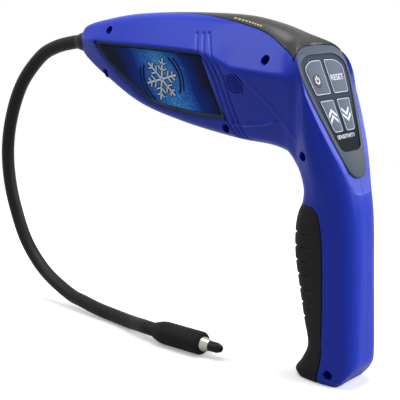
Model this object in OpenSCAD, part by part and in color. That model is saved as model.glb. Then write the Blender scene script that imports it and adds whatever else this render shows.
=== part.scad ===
// Pistol-shaped refrigerant leak detector with a bendable probe.
// Millimetres, Z up. Origin in the middle of the base, nose towards -X, keypad towards +X.

/* [Housing] */
// Height of the barrel's crown above the base
height = 238; // [236:0.5:240]
// Reach of the nose end from the middle of the base
nose_reach = 224; // [222:0.5:226]
// Width of the housing beside the keypad
body_w = 62; // [61:0.5:63]
// Width of the grip
grip_w = 38; // [37.5:0.25:39]
// Wall of the two halves
wall = 2.6; // [2.4:0.1:2.8]
// Diameter of the bore in the nose
nose_bore = 12.4; // [12:0.1:12.8]
// Joint gap round parts that are let into the housing
fit_gap = 0.15; // [0.1:0.05:0.25]

/* [Screws] */
// Diameter of a screw well
well_d = 6.4; // [6:0.1:6.8]
// Outer diameter of a screw boss
boss_d = 9.4; // [9:0.1:10]
// Depth of material under a screw head
seat_t = 3.5; // [3:0.5:4.5]
// Diameter of a screw shank
screw_d = 2.8; // [2.6:0.1:3]
// Diameter of a screw head
screw_head_d = 5.6; // [5.2:0.1:5.8]
// Height of a screw head
screw_head_h = 2.2; // [2:0.1:2.4]
// Length of a screw shank
screw_len = 8.5; // [8:0.5:9]

/* [Grip pad] */
// Thickness of the rubber pad
pad_depth = 2.6; // [2.4:0.1:2.8]
// Distance between two rib notches
rib_pitch = 9.3; // [9:0.1:9.5]
// Height of a rib notch
rib_h = 1.7; // [1.4:0.1:2]
// Depth of a rib notch
rib_cut = 1.5; // [1.2:0.1:1.7]
// Height of the lowest rib notch
rib_z = 41.5; // [41:0.5:42.5]

/* [Top window] */
// Thickness of the smoked window
strip_depth = 1.4; // [1.3:0.1:1.5]

/* [Keypad] */
// Lean of the keypad from upright, degrees
kp_tilt = 22.2; // [22:0.1:22.4]
// Thickness of the keypad bezel
bezel_t = 2.2; // [2:0.1:2.4]
// Half width of the bezel at its top corners
bezel_half = 30.5; // [30:0.1:31]
// Length of the bezel below its reference line
bezel_len = 88.5; // [87.5:0.5:89.5]
// Height of a key above the bezel
key_rise = 0.8; // [0.6:0.1:1]
// Gap round a key
key_gap = 0.4; // [0.35:0.05:0.5]
// Thickness of a circuit board
board_t = 1.6; // [1.4:0.1:1.8]

/* [Side window] */
// Depth of the side window's floor under its reference plane
label_depth = 2; // [1.8:0.1:2.2]
// Thickness of the label panel
label_t = 0.8; // [0.6:0.1:1]
// Extra wall behind the side window
label_backing = 3.6; // [3.4:0.1:4]
// Width of the frame round the label panel
frame_w = 3; // [2.6:0.1:3.4]
// Thickness of the frame round the label panel
frame_t = 1.4; // [1.2:0.1:1.6]

/* [Battery] */
// Diameter of a cell
cell_d = 13.9; // [13.7:0.1:14.1]
// Length of a cell with its nub
cell_len = 50.2; // [49.8:0.1:50.5]
// Play round a cell
cell_play = 0.25; // [0.2:0.05:0.35]
// Gap round the battery door
door_gap = 0.4; // [0.35:0.05:0.5]
// Ledge that carries the battery door on its long sides
door_ledge = 1.1; // [1:0.05:1.2]

/* [Probe] */
// Diameter of the bendable neck
neck_d = 10.5; // [10.3:0.1:10.7]
// Diameter of the gland in the nose
gland_d = 12.2; // [11.8:0.1:12.3]
// Diameter of the probe sleeve
sleeve_d = 16.8; // [16.4:0.1:17.2]
// Length of the probe sleeve
sleeve_len = 45; // [44:0.5:46]
// Diameter of the aluminium collar at its root
collar_d = 11; // [10.6:0.1:11.2]
// Diameter of the tip cap
tip_d = 7.3; // [7.1:0.1:7.5]
// Diameter of the air inlet in the tip cap
inlet_d = 2; // [1.8:0.1:2.2]

/* [Hidden] */
$fn = 32;

hx = nose_reach / 224;
hz = height / 238;
bw = body_w / 2;
gw = grip_w / 2;
edge = 0.3;

// One station of the housing: bottom x and z, top x and z, half width of the belly, height of
// the shoulder as a share, half width at the shoulder, half width of the top, softness of the
// three corners, and the shares of the outline where the pad ends and the window begins.
function row(ix, iz, ox, oz, b, cf, w, t, r1, r2, r3, tp, ts) =
    [ix * hx, iz * hz, ox * hx, oz * hz, b, cf, w, t, r1, r2, r3, tp, ts];

keys = [
    row(-224, 204.5, -225, 222.5, 5, 0.50, 9, 5, 5, 5, 5, 0.30, 0.80),
    row(-218.5, 200, -220, 227, 5.5, 0.54, 12.5, 5, 5, 5, 5, 0.30, 0.85),
    row(-202, 189.5, -201, 231.5, 7, 0.58, bw * 0.56, 6.5, 6, 6, 6, 0.30, 0.96),
    row(-165, 171, -169, 236, 8.5, 0.61, bw * 0.71, 8, 7, 6, 8, 0.30, 0.965),
    row(-122, 160.5, -122, 238, 9.5, 0.62, bw * 0.83, 8.5, 8, 6, 9, 0.30, 0.92),
    row(-75, 154, -74, 237, 10.5, 0.62, bw * 0.925, 9, 8, 6, 9, 0.30, 0.84),
    row(-47, 151.5, -47, 233, 11.5, 0.60, bw * 0.965, 11, 9, 6, 10, 0.30, 0.78),
    row(-33, 148.5, -25.5, 227.4, 12, 0.60, bw * 0.99, 15, 9, 7, 10, 0.30, 0.74),
    row(-27.5, 145, -13.5, 221, 12.5, 0.60, bw, 21, 10, 8, 10, 0.30, 0.71),
    row(-24, 141, -6.5, 208, 13, 0.62, bw, 27.5, 10, 8, 8, 0.30, 0.70),
    row(-21, 136.5, 0.5, 188, 13, 0.62, bw * 0.95, 24.5, 10, 9, 8, 0.30, 0.70),
    row(-19.5, 131, 9, 165, 13, 0.60, bw * 0.87, 21, 10, 10, 8, 0.30, 0.70),
    row(-19.3, 125, 16, 147, 13, 0.58, bw * 0.78, 17, 11, 10, 9, 0.28, 0.70),
    row(-20.5, 118, 21.5, 132, 13, 0.55, gw * 1.13, 15.5, 11, 12, 11, 0.10, 0.70),
    row(-23.5, 110, 23.8, 117, 13, 0.52, gw * 1.05, 15.5, 12, 14, 12, 0.40, 0.70),
    row(-26, 99, 25.3, 100, 13.5, 0.50, gw, 16, 12, 16, 12, 0.50, 0.75),
    row(-26, 83, 26, 82, 13.5, 0.50, gw, 16, 12, 16, 12, 0.525, 0.75),
    row(-22.5, 67, 26.5, 65, 13.5, 0.50, gw, 16, 12, 16, 12, 0.515, 0.75),
    row(-17.5, 42, 27.2, 41, 13.5, 0.50, gw, 16, 12, 16, 12, 0.475, 0.75),
    row(-14, 24, 27.5, 24, 13.5, 0.50, gw, 16, 12, 16, 12, 0.445, 0.75),
    row(-18, 12.5, 27.2, 12, 14, 0.50, gw, 16.5, 11, 14, 11, 0.465, 0.75),
    row(-22.5, 5, 25.5, 4.5, 14, 0.50, gw * 0.98, 16.5, 10, 12, 10, 0.50, 0.75),
    row(-20.5, 0, 20.5, 0, 12.5, 0.50, gw * 0.87, 14.5, 9, 10, 9, 0.51, 0.75)];
nk = len(keys);
pad_from = 13.3;
strip_from = 3.4;
strip_to = 8.6;

// Smooth curve through four stations
function crm(a, b, c, d, t) =
    b + 0.5 * t * (c - a + t * (2 * a - 5 * b + 4 * c - d + t * (3 * (b - c) + d - a)));
function key_at(i) =
    i < 0 ? 2 * keys[0] - keys[1] : i >= nk ? 2 * keys[nk - 1] - keys[nk - 2] : keys[i];
function station(u) =
    let (i = min(floor(u), nk - 2)) crm(key_at(i - 1), key_at(i), key_at(i + 1), key_at(i + 2), u - i);
// Softened corner at p between a and b
function bend(a, p, b, la, lb, r, n) =
    let (da = norm(a - p), db = norm(b - p), t = min(r, la * da, lb * db),
         pa = p + (a - p) * t / da, pb = p + (b - p) * t / db)
    [for (j = [0:n]) let (s = j / n) (1 - s) * (1 - s) * pa + 2 * s * (1 - s) * p + s * s * pb];
function profile(k) =
    let (h = norm([k[2] - k[0], k[3] - k[1]]), a = [0, 0], b = [0, k[4]], c = [k[5] * h, k[6]],
         d = [h, k[7]], e = [h, 0])
    concat([a], bend(a, b, c, 0.95, 0.45, k[8], 6), bend(b, c, d, 0.45, 0.45, k[9], 6),
           bend(c, d, e, 0.45, 0.95, k[10], 6), [e]);
function runs(p, i = 1, acc = [0]) =
    i == len(p) ? acc : runs(p, i + 1, concat(acc, [acc[i - 1] + norm(p[i] - p[i - 1])]));
function seek(c, s, i = 1) = i >= len(c) - 1 || c[i] >= s ? i : seek(c, s, i + 1);
function along(p, c, s) =
    let (i = seek(c, s), t = (s - c[i - 1]) / max(c[i] - c[i - 1], 0.0001))
    p[i - 1] + (p[i] - p[i - 1]) * t;
function inset_pt(p, c, s, dep) =
    let (l = c[len(c) - 1], h = p[len(p) - 1][0])
    s <= 0.001 ? [dep, 0] : s >= l - 0.001 ? [h - dep, 0] :
    let (a = along(p, c, max(s - 0.7, 0)), b = along(p, c, min(s + 0.7, l)), t = (b - a) / norm(b - a))
    along(p, c, s) + dep * [t[1], -t[0]];
function place(k, q) =
    let (h = norm([k[2] - k[0], k[3] - k[1]]), ex = (k[2] - k[0]) / h, ez = (k[3] - k[1]) / h)
    [k[0] + ex * q[0], -q[1], k[1] + ez * q[0]];
n1 = 5;
n2 = 8;
n3 = 4;
kk = n1 + n2 + n3 + 3;
m_in = 8;
function picks(l, tp, ts) = concat(
    [for (j = [0:n1 - 1]) [tp * l * j / n1, 1]], [[tp * l - edge, 1], [tp * l + edge, 0]],
    [for (j = [1:n2 - 1]) [(tp + (ts - tp) * j / n2) * l, 0]],
    [[ts * l - edge, 0], [ts * l + edge, 2]],
    [for (j = [1:n3]) [(ts + (1 - ts) * j / n3) * l, 2]]);
function in_pad(u) = u > pad_from;
function in_strip(u) = u > strip_from && u < strip_to;
function outer_row(u, cut) =
    let (k = station(u), p = profile(k), c = runs(p), l = c[len(c) - 1])
    [for (s = picks(l, k[11], k[12]))
        place(k, inset_pt(p, c, s[0], cut * (s[1] == 1 && in_pad(u) ? pad_depth :
            s[1] == 2 && in_strip(u) ? strip_depth : 0)))];
function ramp(x, a, b) = let (t = min(max((x - a) / (b - a), 0), 1)) t * t * (3 - 2 * t);
// Wall thickness, more behind the keypad, the pad and, by backing, the side window
function thick(u, t, backing) = wall
    + pad_depth * ramp(u, 12.9, 13.3) * (1 - 0.7 * ramp(t, 0.47, 0.57))
    + 5.5 * ramp(u, 7.2, 8) * (1 - ramp(u, 13, 13.6)) * ramp(t, 0.55, 0.72)
    + backing * ramp(u, 0.9, 1.5) * (1 - ramp(u, 5, 5.5)) * ramp(t, 0.1, 0.25) * (1 - ramp(t, 0.7, 0.85));
function inner_row(u0, backing) =
    let (u = 0.75 + u0 * (nk - 2.25) / (nk - 1), k = station(u), p = profile(k), c = runs(p),
         l = c[len(c) - 1])
    [for (j = [0:m_in - 1]) let (t = j / (m_in - 1))
        place(k, inset_pt(p, c, t * l, thick(u, t, backing)))];
function flat(v) = [for (r = v) for (q = r) q];
eps = 0.02;
ul = concat([for (i = [0:6]) i * 0.5], [strip_from - eps, strip_from + eps],
    [for (i = [7:17]) i * 0.5], [strip_to - eps, strip_to + eps], [for (i = [18:26]) i * 0.5],
    [pad_from - eps, pad_from + eps], [for (i = [27:44]) i * 0.5]);
pad_ul = [for (u = ul) if (in_pad(u)) u];
strip_ul = [for (u = ul) if (in_strip(u)) u];

// Two triangles of one cell of a grid that starts at point o, with w points in a row. Cells from
// column alt_from up to alt_to are split along the other diagonal.
function cell(o, w, i, j, flip, alt) =
    let (a = o + i * w + j, b = a + 1, c = a + w + 1, d = a + w)
    alt ? (flip ? [[a, d, b], [b, d, c]] : [[a, b, d], [b, c, d]])
        : (flip ? [[a, c, b], [a, d, c]] : [[a, b, c], [a, c, d]]);
function grid(o, n, w, flip, alt_from = 0, alt_to = 0) =
    [for (i = [0:n - 2], j = [0:w - 2]) each cell(o, w, i, j, flip, j >= alt_from && j < alt_to)];

// Hollow half, with the parting face on the middle plane
module half_skin(backing) {
    n = len(ul);
    o = n * kk;
    e = (n - 1) * kk;
    f = o + (n - 1) * m_in;
    pts = concat(flat([for (u = ul) outer_row(u, 1)]), flat([for (u = ul) inner_row(u, backing)]));
    rim = [for (i = [0:n - 2]) each
        [[i * kk, (i + 1) * kk, o + (i + 1) * m_in], [i * kk, o + (i + 1) * m_in, o + i * m_in],
         [i * kk + kk - 1, o + (i + 1) * m_in + m_in - 1, (i + 1) * kk + kk - 1],
         [i * kk + kk - 1, o + i * m_in + m_in - 1, o + (i + 1) * m_in + m_in - 1]]];
    caps = [[for (j = [kk - 1:-1:0]) j], [for (j = [0:kk - 1]) e + j],
        [for (j = [0:m_in - 1]) o + j], [for (j = [m_in - 1:-1:0]) f + j],
        [0, o, o + m_in - 1, kk - 1], [e, e + kk - 1, f + m_in - 1, f]];
    polyhedron(points = pts, convexity = 10,
        faces = concat(grid(0, n, kk, false), grid(o, n, m_in, true), rim, caps));
}

// Solid slice of a half between two stations, for parts cut out of the skin
module half_block(ua, ub) {
    us = concat([ua], [for (u = ul) if (u > ua + 0.05 && u < ub - 0.05) u], [ub]);
    n = len(us);
    e = (n - 1) * kk;
    mid = [for (i = [0:n - 2]) each
        [[i * kk, (i + 1) * kk, (i + 1) * kk + kk - 1], [i * kk, (i + 1) * kk + kk - 1, i * kk + kk - 1]]];
    polyhedron(points = flat([for (u = us) outer_row(u, 1)]), convexity = 10,
        faces = concat(grid(0, n, kk, false), mid,
            [[for (j = [kk - 1:-1:0]) j], [for (j = [0:kk - 1]) e + j]]));
}

// A skin piece laid over a recess on both sides of the middle plane: from and to are the
// places in a row, lower one first
module laid_piece(us, from, to, centre) {
    n = len(us);
    m = to - from + 1;
    w = 2 * m - 1;
    function both(r) = centre == 0
        ? concat([for (j = [to:-1:from]) r[j]], [for (j = [from + 1:to]) [r[j][0], -r[j][1], r[j][2]]])
        : concat([for (j = [from:to]) r[j]], [for (j = [to - 1:-1:from]) [r[j][0], -r[j][1], r[j][2]]]);
    pts = concat(flat([for (u = us) both(outer_row(u, 0))]), flat([for (u = us) both(outer_row(u, 1))]));
    o = n * w;
    side = [for (i = [0:n - 2]) each
        [[i * w, (i + 1) * w, o + (i + 1) * w], [i * w, o + (i + 1) * w, o + i * w],
         [i * w + w - 1, o + (i + 1) * w + w - 1, (i + 1) * w + w - 1],
         [i * w + w - 1, o + i * w + w - 1, o + (i + 1) * w + w - 1]]];
    e = (n - 1) * w;
    ends = [for (j = [0:w - 2]) each
        [[j, o + j + 1, j + 1], [j, o + j, o + j + 1],
         [e + j, e + j + 1, o + e + j + 1], [e + j, o + e + j + 1, o + e + j]]];
    turn = centre == 0;
    alt_from = turn ? 0 : m - 1;
    alt_to = turn ? m - 1 : w;
    fs = concat(grid(0, n, w, turn, alt_from, alt_to), grid(o, n, w, !turn, alt_from, alt_to),
        [for (q = concat(side, ends)) turn ? [q[2], q[1], q[0]] : q]);
    polyhedron(points = pts, faces = fs, convexity = 10);
}

// Keypad plane: x runs down the keypad, y across it, z out of it
kp_x = -13.5 * hx;
kp_z = 216 * hz;
module on_keypad() {
    translate([kp_x, 0, kp_z]) rotate([0, 90 - kp_tilt, 0]) children();
}
function mirrored(p) = concat(p, [for (i = [len(p) - 1:-1:0]) if (p[i][1] > 0.001) [p[i][0], -p[i][1]]]);
function grown(p, d) = [for (q = p) [q[0] < 40 ? q[0] - d * (40 - q[0]) / 40 : q[0] + d * (q[0] - 40) / 46,
    q[1] * (1 + d / 26)]];
bezel_half_line = concat([[-3.4, 0]],
    bend([-3.4, 0], [-2.6, bezel_half], [42, 20.3], 0.95, 0.4, 12, 7),
    bend([-2.6, bezel_half], [42, 20.3], [bezel_len, 4.2], 0.4, 0.4, 18, 3),
    bend([42, 20.3], [bezel_len, 4.2], [bezel_len, 0], 0.4, 0.95, 8, 4), [[bezel_len, 0]]);
module bezel_outline(d) {
    polygon(mirrored(grown(bezel_half_line, d)));
}
module facet_tool() {
    on_keypad() linear_extrude(30) polygon(mirrored(concat(
        [[-4.4, 0]], bend([-4.4, 0], [-3.6, 34], [14, 34], 0.95, 0.9, 12, 6), [[14, 46], [112, 46], [112, 0]])));
}
module bezel_pocket() {
    on_keypad() translate([0, 0, -bezel_t]) linear_extrude(bezel_t + 1) bezel_outline(fit_gap);
}
module keypad_cut() {
    facet_tool();
    bezel_pocket();
    on_keypad() translate([0, 0, -16]) linear_extrude(16) polygon(mirrored([[2, 0], [2, 21], [8, 25.2],
        [30, 21.4], [66, 9.5], [68, 0]]));
}

// Outlines of the keys on the keypad plane, for the side where y is positive
function soft(p, r) = let (n = len(p)) [for (i = [0:n - 1]) each
    bend(p[(i + n - 1) % n], p[i], p[(i + 1) % n], 0.45, 0.45, r[i], 4)];
upper_key = soft([[5.9, 3.2], [5.9, 20.6], [16, 22], [29.2, 18], [29.2, 3.2]], [1.6, 7, 5, 2, 1.6]);
lower_key = soft([[33.2, 2.5], [33.2, 17], [54, 11.2], [54, 2.9]], [1.6, 2, 2, 1.6]);
function wider(p, d) = let (n = len(p), c = [for (k = [0, 1]) [for (q = p) q[k]] * [for (q = p) 1] / n])
    [for (q = p) q + d * (q - c) / norm(q - c)];
module key_shape(p, d) {
    polygon(wider(p, d));
}
module key_solid(p) {
    on_keypad() {
        translate([0, 0, -bezel_t - 0.4]) linear_extrude(bezel_t + 0.4 + key_rise) key_shape(p, 0);
        translate([0, 0, -bezel_t - 1.2]) linear_extrude(0.9) key_shape(p, 0.9);
    }
}
function key_mid(p) = [for (k = [0, 1]) [for (q = p) q[k]] * [for (q = p) 1] / len(p)];

// Side window plane: x runs back, y up, z out of the left side
module on_label() {
    translate([-130 * hx, -17.3 * body_w / 62, 192 * hz]) rotate([103, 0, -4.8]) children();
}
label_line = soft([[-68, 23.4], [40.6, 19.8], [48.2, -26.2], [26, -26.2], [-11, -20], [-40, -6.5]],
    [2.5, 2.5, 3, 10, 12, 16]);
module label_outline(d) {
    c = [0, 4];
    polygon([for (q = label_line) q + d * (q - c) / norm(q - c)]);
}
module label_cut() {
    on_label() translate([0, 0, -label_depth]) linear_extrude(14) label_outline(fit_gap);
}

// Screw places, x and z, with the length of the boss on each side
wells = [[-188.5 * hx, 223.5 * hz, 9.4], [-193 * hx, 193 * hz, 7.2], [-84 * hx, 161 * hz, 6.5],
    [-38.5 * hx, 209 * hz, bw * 0.97 - 9.37], [-8.5 * hx, 150.5 * hz, bw * 0.8 - 4.4], [10 * hx, 8.2, gw - 2.5]];
module across(p, d, from, to) {
    translate([p[0], from, p[1]]) rotate([-90, 0, 0]) cylinder(d = d, h = to - from);
}
module left_bosses() {
    for (p = wells) across(p, boss_d, -p[2], 0);
}
module right_bosses() {
    for (p = wells) across(p, boss_d, 0, p[2]);
}
module wells_cut() {
    for (p = wells) {
        across(p, well_d, -60, -seat_t);
        across(p, screw_d + 0.2, -seat_t - 1, 1);
    }
}
module pilots_cut() {
    for (p = wells) across(p, screw_d + 0.1, -1, screw_len - seat_t + 0.6);
}

// Nose line, where the neck leaves the housing
lean = atan((keys[0][0] - keys[0][2]) / (keys[0][3] - keys[0][1]));
nose_up = 0.528;
nose = [keys[0][0] + nose_up * (keys[0][2] - keys[0][0]), 0, keys[0][1] + nose_up * (keys[0][3] - keys[0][1])];
module on_nose() {
    translate(nose) rotate([0, -90 - lean, 0]) children();
}
module nose_cut() {
    on_nose() translate([0, 0, -12]) cylinder(d = nose_bore, h = 30);
}

// Battery space in the grip: two cells side by side between a shelf and a stop
bat_x = 12.7;
bat_y = cell_d / 2 + 0.1;
shelf_x = 4.5;
shelf_len = 11.5;
shelf_w = gw - 3.3;
shelf_t = 2;
shelf_top = 13.4;
spring_h = 2.8;
bat_z = shelf_top + spring_h;
contact_t = 1.2;
contact_z = bat_z + cell_len;
stop_z = contact_z + contact_t;
module battery_ribs() {
    for (z = [shelf_top - shelf_t, stop_z]) translate([shelf_x, -shelf_w, z])
        cube([shelf_len, shelf_w, shelf_t]);
}

// Door plane on the right side of the grip: x runs back along it, y out of it
hole_w = cell_d + 2 * cell_play;
hole_z = shelf_top + 0.4;
hole_h = stop_z - 0.2 - hole_z;
door_lean = 10.5;
door_seat = gw - 1.6;
door_w = (hole_w + 2 * door_ledge) / cos(door_lean);
door_end = 1.6;
module on_door() {
    translate([bat_x - hole_w / 2 - door_ledge, door_seat, hole_z - door_end]) rotate([0, 0, -door_lean])
        children();
}
module battery_cut() {
    translate([bat_x - hole_w / 2, 1, hole_z]) cube([hole_w, 30, hole_h]);
    on_door() cube([door_w, 20, hole_h + 2 * door_end]);
}

// Board posts inside the right half, x, z and the depth where they meet the wall
posts = [[-138 * hx, 206 * hz, bw * 0.785 - 2.535], [-62 * hx, 207 * hz, bw * 0.945 - 4.295],
    [-100 * hx, 188 * hz, bw * 0.874 - 8.194]];
board_y = 1;
module board_posts() {
    for (p = posts) across(p, 5, board_y + board_t, p[2]);
}
module led_slot() {
    translate([-98 * hx, -3, 226 * hz]) cube([42 * hx, 6, 30]);
}
module speaker_slots() {
    for (i = [0:6]) translate([(-70 + 2.2 * i) * hx, -60, (197 - 0.25 * i) * hz])
        rotate([0, 20, 0]) translate([-0.5, 0, -7]) cube([1, 50, 13]);
}

module left_housing() {
    color("royalblue") difference() {
        union() {
            half_skin(label_backing);
            left_bosses();
            battery_ribs();
        }
        wells_cut();
        keypad_cut();
        label_cut();
        nose_cut();
        led_slot();
        speaker_slots();
    }
}

module right_housing() {
    color("royalblue") difference() {
        union() {
            mirror([0, 1, 0]) {
                half_skin(0);
                battery_ribs();
            }
            right_bosses();
            board_posts();
        }
        pilots_cut();
        keypad_cut();
        nose_cut();
        led_slot();
        battery_cut();
    }
}

module housing_screws() {
    color("silver") for (p = wells) {
        across(p, screw_head_d, -seat_t - screw_head_h, -seat_t);
        across(p, screw_d, -seat_t - 0.01, screw_len - seat_t);
    }
}

// Front line of the grip at a height
function front_x(z) = lookup(z, [for (i = [14:nk - 1]) [keys[i][1], keys[i][0]]]);

module grip_pad() {
    color("dimgray") difference() {
        laid_piece(pad_ul, 0, n1, 0);
        for (i = [0:6]) let (z = rib_z + i * rib_pitch)
            translate([-60 + front_x(z) + rib_cut, -30, z]) cube([60, 60, rib_h]);
    }
}

module top_window() {
    color("black") difference() {
        laid_piece(strip_ul, kk - 1 - n3, kk - 1, 1);
        facet_tool();
        bezel_pocket();
    }
}

module keypad_bezel() {
    color("slategray") difference() {
        union() {
            on_keypad() translate([0, 0, -bezel_t]) linear_extrude(bezel_t) bezel_outline(0);
            on_keypad() for (p = [[31.2, 9], [59, 5.5], [3.6, 13]], s = [-1, 1])
                translate([p[0], s * p[1], -5]) cylinder(d = 2, h = 4);
        }
        on_keypad() for (s = [0, 1]) mirror([0, s, 0]) {
            translate([0, 0, -4]) linear_extrude(8) key_shape(upper_key, key_gap);
            translate([0, 0, -4]) linear_extrude(8) key_shape(lower_key, key_gap);
        }
    }
}

module power_key() {
    color("darkslategray") mirror([0, 1, 0]) key_solid(upper_key);
}

module reset_key() {
    color("darkslategray") key_solid(upper_key);
}

module sensitivity_up_key() {
    color("darkslategray") mirror([0, 1, 0]) key_solid(lower_key);
}

module sensitivity_down_key() {
    color("darkslategray") key_solid(lower_key);
}

module keypad_board() {
    color("darkgreen") on_keypad() translate([0, 0, -5 - board_t]) linear_extrude(board_t)
        polygon(mirrored([[2.6, 0], [2.6, 19.6], [28, 19], [64, 8.6], [64, 0]]));
}

module key_domes() {
    color("gold") on_keypad() for (p = [key_mid(upper_key), key_mid(lower_key)], s = [-1, 1])
        translate([p[0], s * p[1], -5]) cylinder(d = 7, h = 0.8);
}

module label_frame() {
    color("gray") on_label() translate([0, 0, -label_depth]) linear_extrude(frame_t) difference() {
        label_outline(0);
        label_outline(-frame_w);
    }
}

module label_panel() {
    color("deepskyblue") on_label() translate([0, 0, -label_depth]) linear_extrude(label_t)
        label_outline(-frame_w - 0.1);
}

module main_board() {
    color("darkgreen") translate([0, board_y + board_t, 0]) rotate([90, 0, 0]) linear_extrude(board_t)
        polygon([[-146 * hx, 184 * hz], [-54 * hx, 180 * hz], [-54 * hx, 228 * hz], [-100 * hx, 229 * hz],
            [-104 * hx, 218 * hz], [-146 * hx, 218 * hz]]);
}

module board_parts() {
    color("dimgray") {
        translate([-124 * hx, board_y - 1.8, 194 * hz]) cube([16, 1.8, 16]);
        translate([-96 * hx, board_y - 1.4, 186 * hz]) cube([10, 1.4, 6]);
        translate([-142 * hx, board_y - 5, 196 * hz]) cube([6, 5, 14]);
        translate([-100 * hx, board_y - 1.2, 204 * hz]) cube([8, 1.2, 5]);
    }
}

module buzzer() {
    color("black") across([-67 * hx, 196 * hz], 20, board_y - 9, board_y);
}

module indicator_leds() {
    color("tomato") for (i = [0:4]) translate([(-96 + 8.6 * i) * hx, board_y - 2.4, 221 * hz])
        cube([3, 2.4, 6]);
}

module battery_cells() {
    color("goldenrod") for (y = [-bat_y, bat_y]) translate([bat_x, y, bat_z]) {
        cylinder(d = cell_d, h = cell_len - 1);
        translate([0, 0, cell_len - 1.5]) cylinder(d = 5.5, h = 1.5);
    }
}

module battery_springs() {
    color("silver") for (y = [-bat_y, bat_y]) translate([bat_x, y, shelf_top])
        cylinder(d1 = 9, d2 = 6, h = spring_h);
}

module battery_contact() {
    color("silver") translate([bat_x - 4, -bat_y - 4, contact_z]) cube([8, 2 * bat_y + 8, contact_t]);
}

module battery_door() {
    color("royalblue") intersection() {
        mirror([0, 1, 0]) half_block(16.3, 20.6);
        on_door() translate([door_gap, 0, door_gap])
            cube([door_w - 2 * door_gap, 20, hole_h + 2 * door_end - 2 * door_gap]);
    }
}

module nose_gland() {
    color("black") difference() {
        on_nose() union() {
            translate([0, 0, -10]) cylinder(d = gland_d, h = 12);
            cylinder(d = gland_d + 1.6, h = 5);
        }
        neck_bore();
    }
}
module neck_bore() {
    on_nose() translate([0, 0, -11]) cylinder(d = neck_d + 0.2, h = 30);
}

// Route of the neck's middle line, from inside the nose round to the probe sleeve
sleeve_r = sleeve_d / 2;
rise = (214 * hz - sleeve_r) / (214 - 8.4);
function at_route(p) = [p[0] * hx, p[1], sleeve_r + (p[2] - 8.4) * rise];
nose_way = [-sin(90 + lean), 0, cos(90 + lean)];
route = concat([for (s = [-9, 2, 14]) nose + s * nose_way],
    [for (p = [[-261.3, 0, 208.6], [-280.5, 0, 199.8], [-303.5, 0, 178.3], [-318.5, 0, 151.1],
    [-326, 0, 122.3], [-324.3, -0.8, 94], [-315.2, -2, 67.2], [-300.1, -4, 42.7], [-275.9, -6.5, 23.1],
    [-244.8, -9.3, 10.9], [-225.6, -11.2, 8.2], [-206.6, -13, 6.2], [-188.1, -14.4, 5.34],
    [-167, -18.2, 5.8], [-152, -22.5, 7.6], [-145, -24.5, 8.3], [-139, -25, 8.4], [-132.5, -25, 8.4],
    [-126, -25, 8.4]])
    at_route(p)]);
nr = len(route);
function route_at(u) =
    let (i = min(floor(u), nr - 2), a = i > 0 ? route[i - 1] : 2 * route[0] - route[1],
         d = i + 2 < nr ? route[i + 2] : 2 * route[nr - 1] - route[nr - 2])
    crm(a, route[i], route[i + 1], d, u - i);
function unit(v) = v / norm(v);
neck_n = 14;
neck_sub = 4;
module gooseneck() {
    n = (nr - 1) * neck_sub + 1;
    function ring(u) =
        let (p = route_at(u), t = unit(route_at(min(u + 0.05, nr - 1)) - route_at(max(u - 0.05, 0))),
             b = unit(cross(t, [0, 1, 0])), c = cross(b, t))
        [for (j = [0:neck_n - 1]) let (a = 360 * j / neck_n)
            p + neck_d / 2 / cos(180 / neck_n) * 0.985 * (cos(a) * b + sin(a) * c)];
    pts = flat([for (i = [0:n - 1]) ring(i / neck_sub)]);
    wall_f = [for (i = [0:n - 2], j = [0:neck_n - 1])
        let (a = i * neck_n + j, b = i * neck_n + (j + 1) % neck_n) each
        [[a, b + neck_n, a + neck_n], [a, b, b + neck_n]]];
    color("black") polyhedron(points = pts, convexity = 6, faces = concat(wall_f,
        [[for (j = [neck_n - 1:-1:0]) j], [for (j = [0:neck_n - 1]) (n - 1) * neck_n + j]]));
}

// Probe head, built along its own axis from the end of the neck
head_x = -134 * hx;
head_y = -25;
module on_head() {
    translate([head_x, head_y, sleeve_r]) rotate([0, 90, 0]) children();
}
neck_end = 8;
collar_in = 10;
wire_r = 1.8;
sensor_r = 2.5;
module probe_sleeve() {
    r = sleeve_r;
    color("black") on_head() rotate_extrude() polygon([[neck_d / 2 + 0.1, 0], [neck_d / 2 + 0.8, 0],
        [neck_d / 2 + 1.4, 2.5], [r - 0.9, 7.5], [r - 0.25, 10], [r, 13], [r, sleeve_len - 1.5],
        [r - 0.5, sleeve_len - 0.4], [r - 1.4, sleeve_len],
        [collar_d / 2, sleeve_len], [collar_d / 2, sleeve_len - collar_in], [wire_r, sleeve_len - collar_in],
        [wire_r, neck_end], [neck_d / 2 + 0.1, neck_end]]);
}
collar_len = 6.4;
module probe_collar() {
    color("lightgray") on_head() rotate_extrude() polygon([[sensor_r + 0.1, sleeve_len - collar_in],
        [collar_d / 2 - 0.05, sleeve_len - collar_in], [collar_d / 2 - 0.05, sleeve_len + 0.4],
        [tip_d / 2 + 0.2, sleeve_len + collar_len], [sensor_r + 0.1, sleeve_len + collar_len]]);
}
tip_len = 10;
module sensor_element() {
    color("silver") on_head() translate([0, 0, sleeve_len - collar_in]) cylinder(r = sensor_r, h = 9);
}
module probe_tip() {
    s = sleeve_len + collar_len;
    color("black") on_head() rotate_extrude() polygon([[1.6, s - 5], [sensor_r, s - 5], [sensor_r, s],
        [tip_d / 2, s], [tip_d / 2, s + tip_len - 3.6], [2.3, s + tip_len], [inlet_d / 2, s + tip_len],
        [inlet_d / 2, s + 3], [1.6, s + 3]]);
}

left_housing();
right_housing();
housing_screws();
grip_pad();
top_window();
keypad_bezel();
power_key();
reset_key();
sensitivity_up_key();
sensitivity_down_key();
keypad_board();
key_domes();
label_frame();
label_panel();
main_board();
board_parts();
buzzer();
indicator_leds();
battery_cells();
battery_springs();
battery_contact();
battery_door();
nose_gland();
gooseneck();
probe_sleeve();
probe_collar();
sensor_element();
probe_tip();
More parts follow.
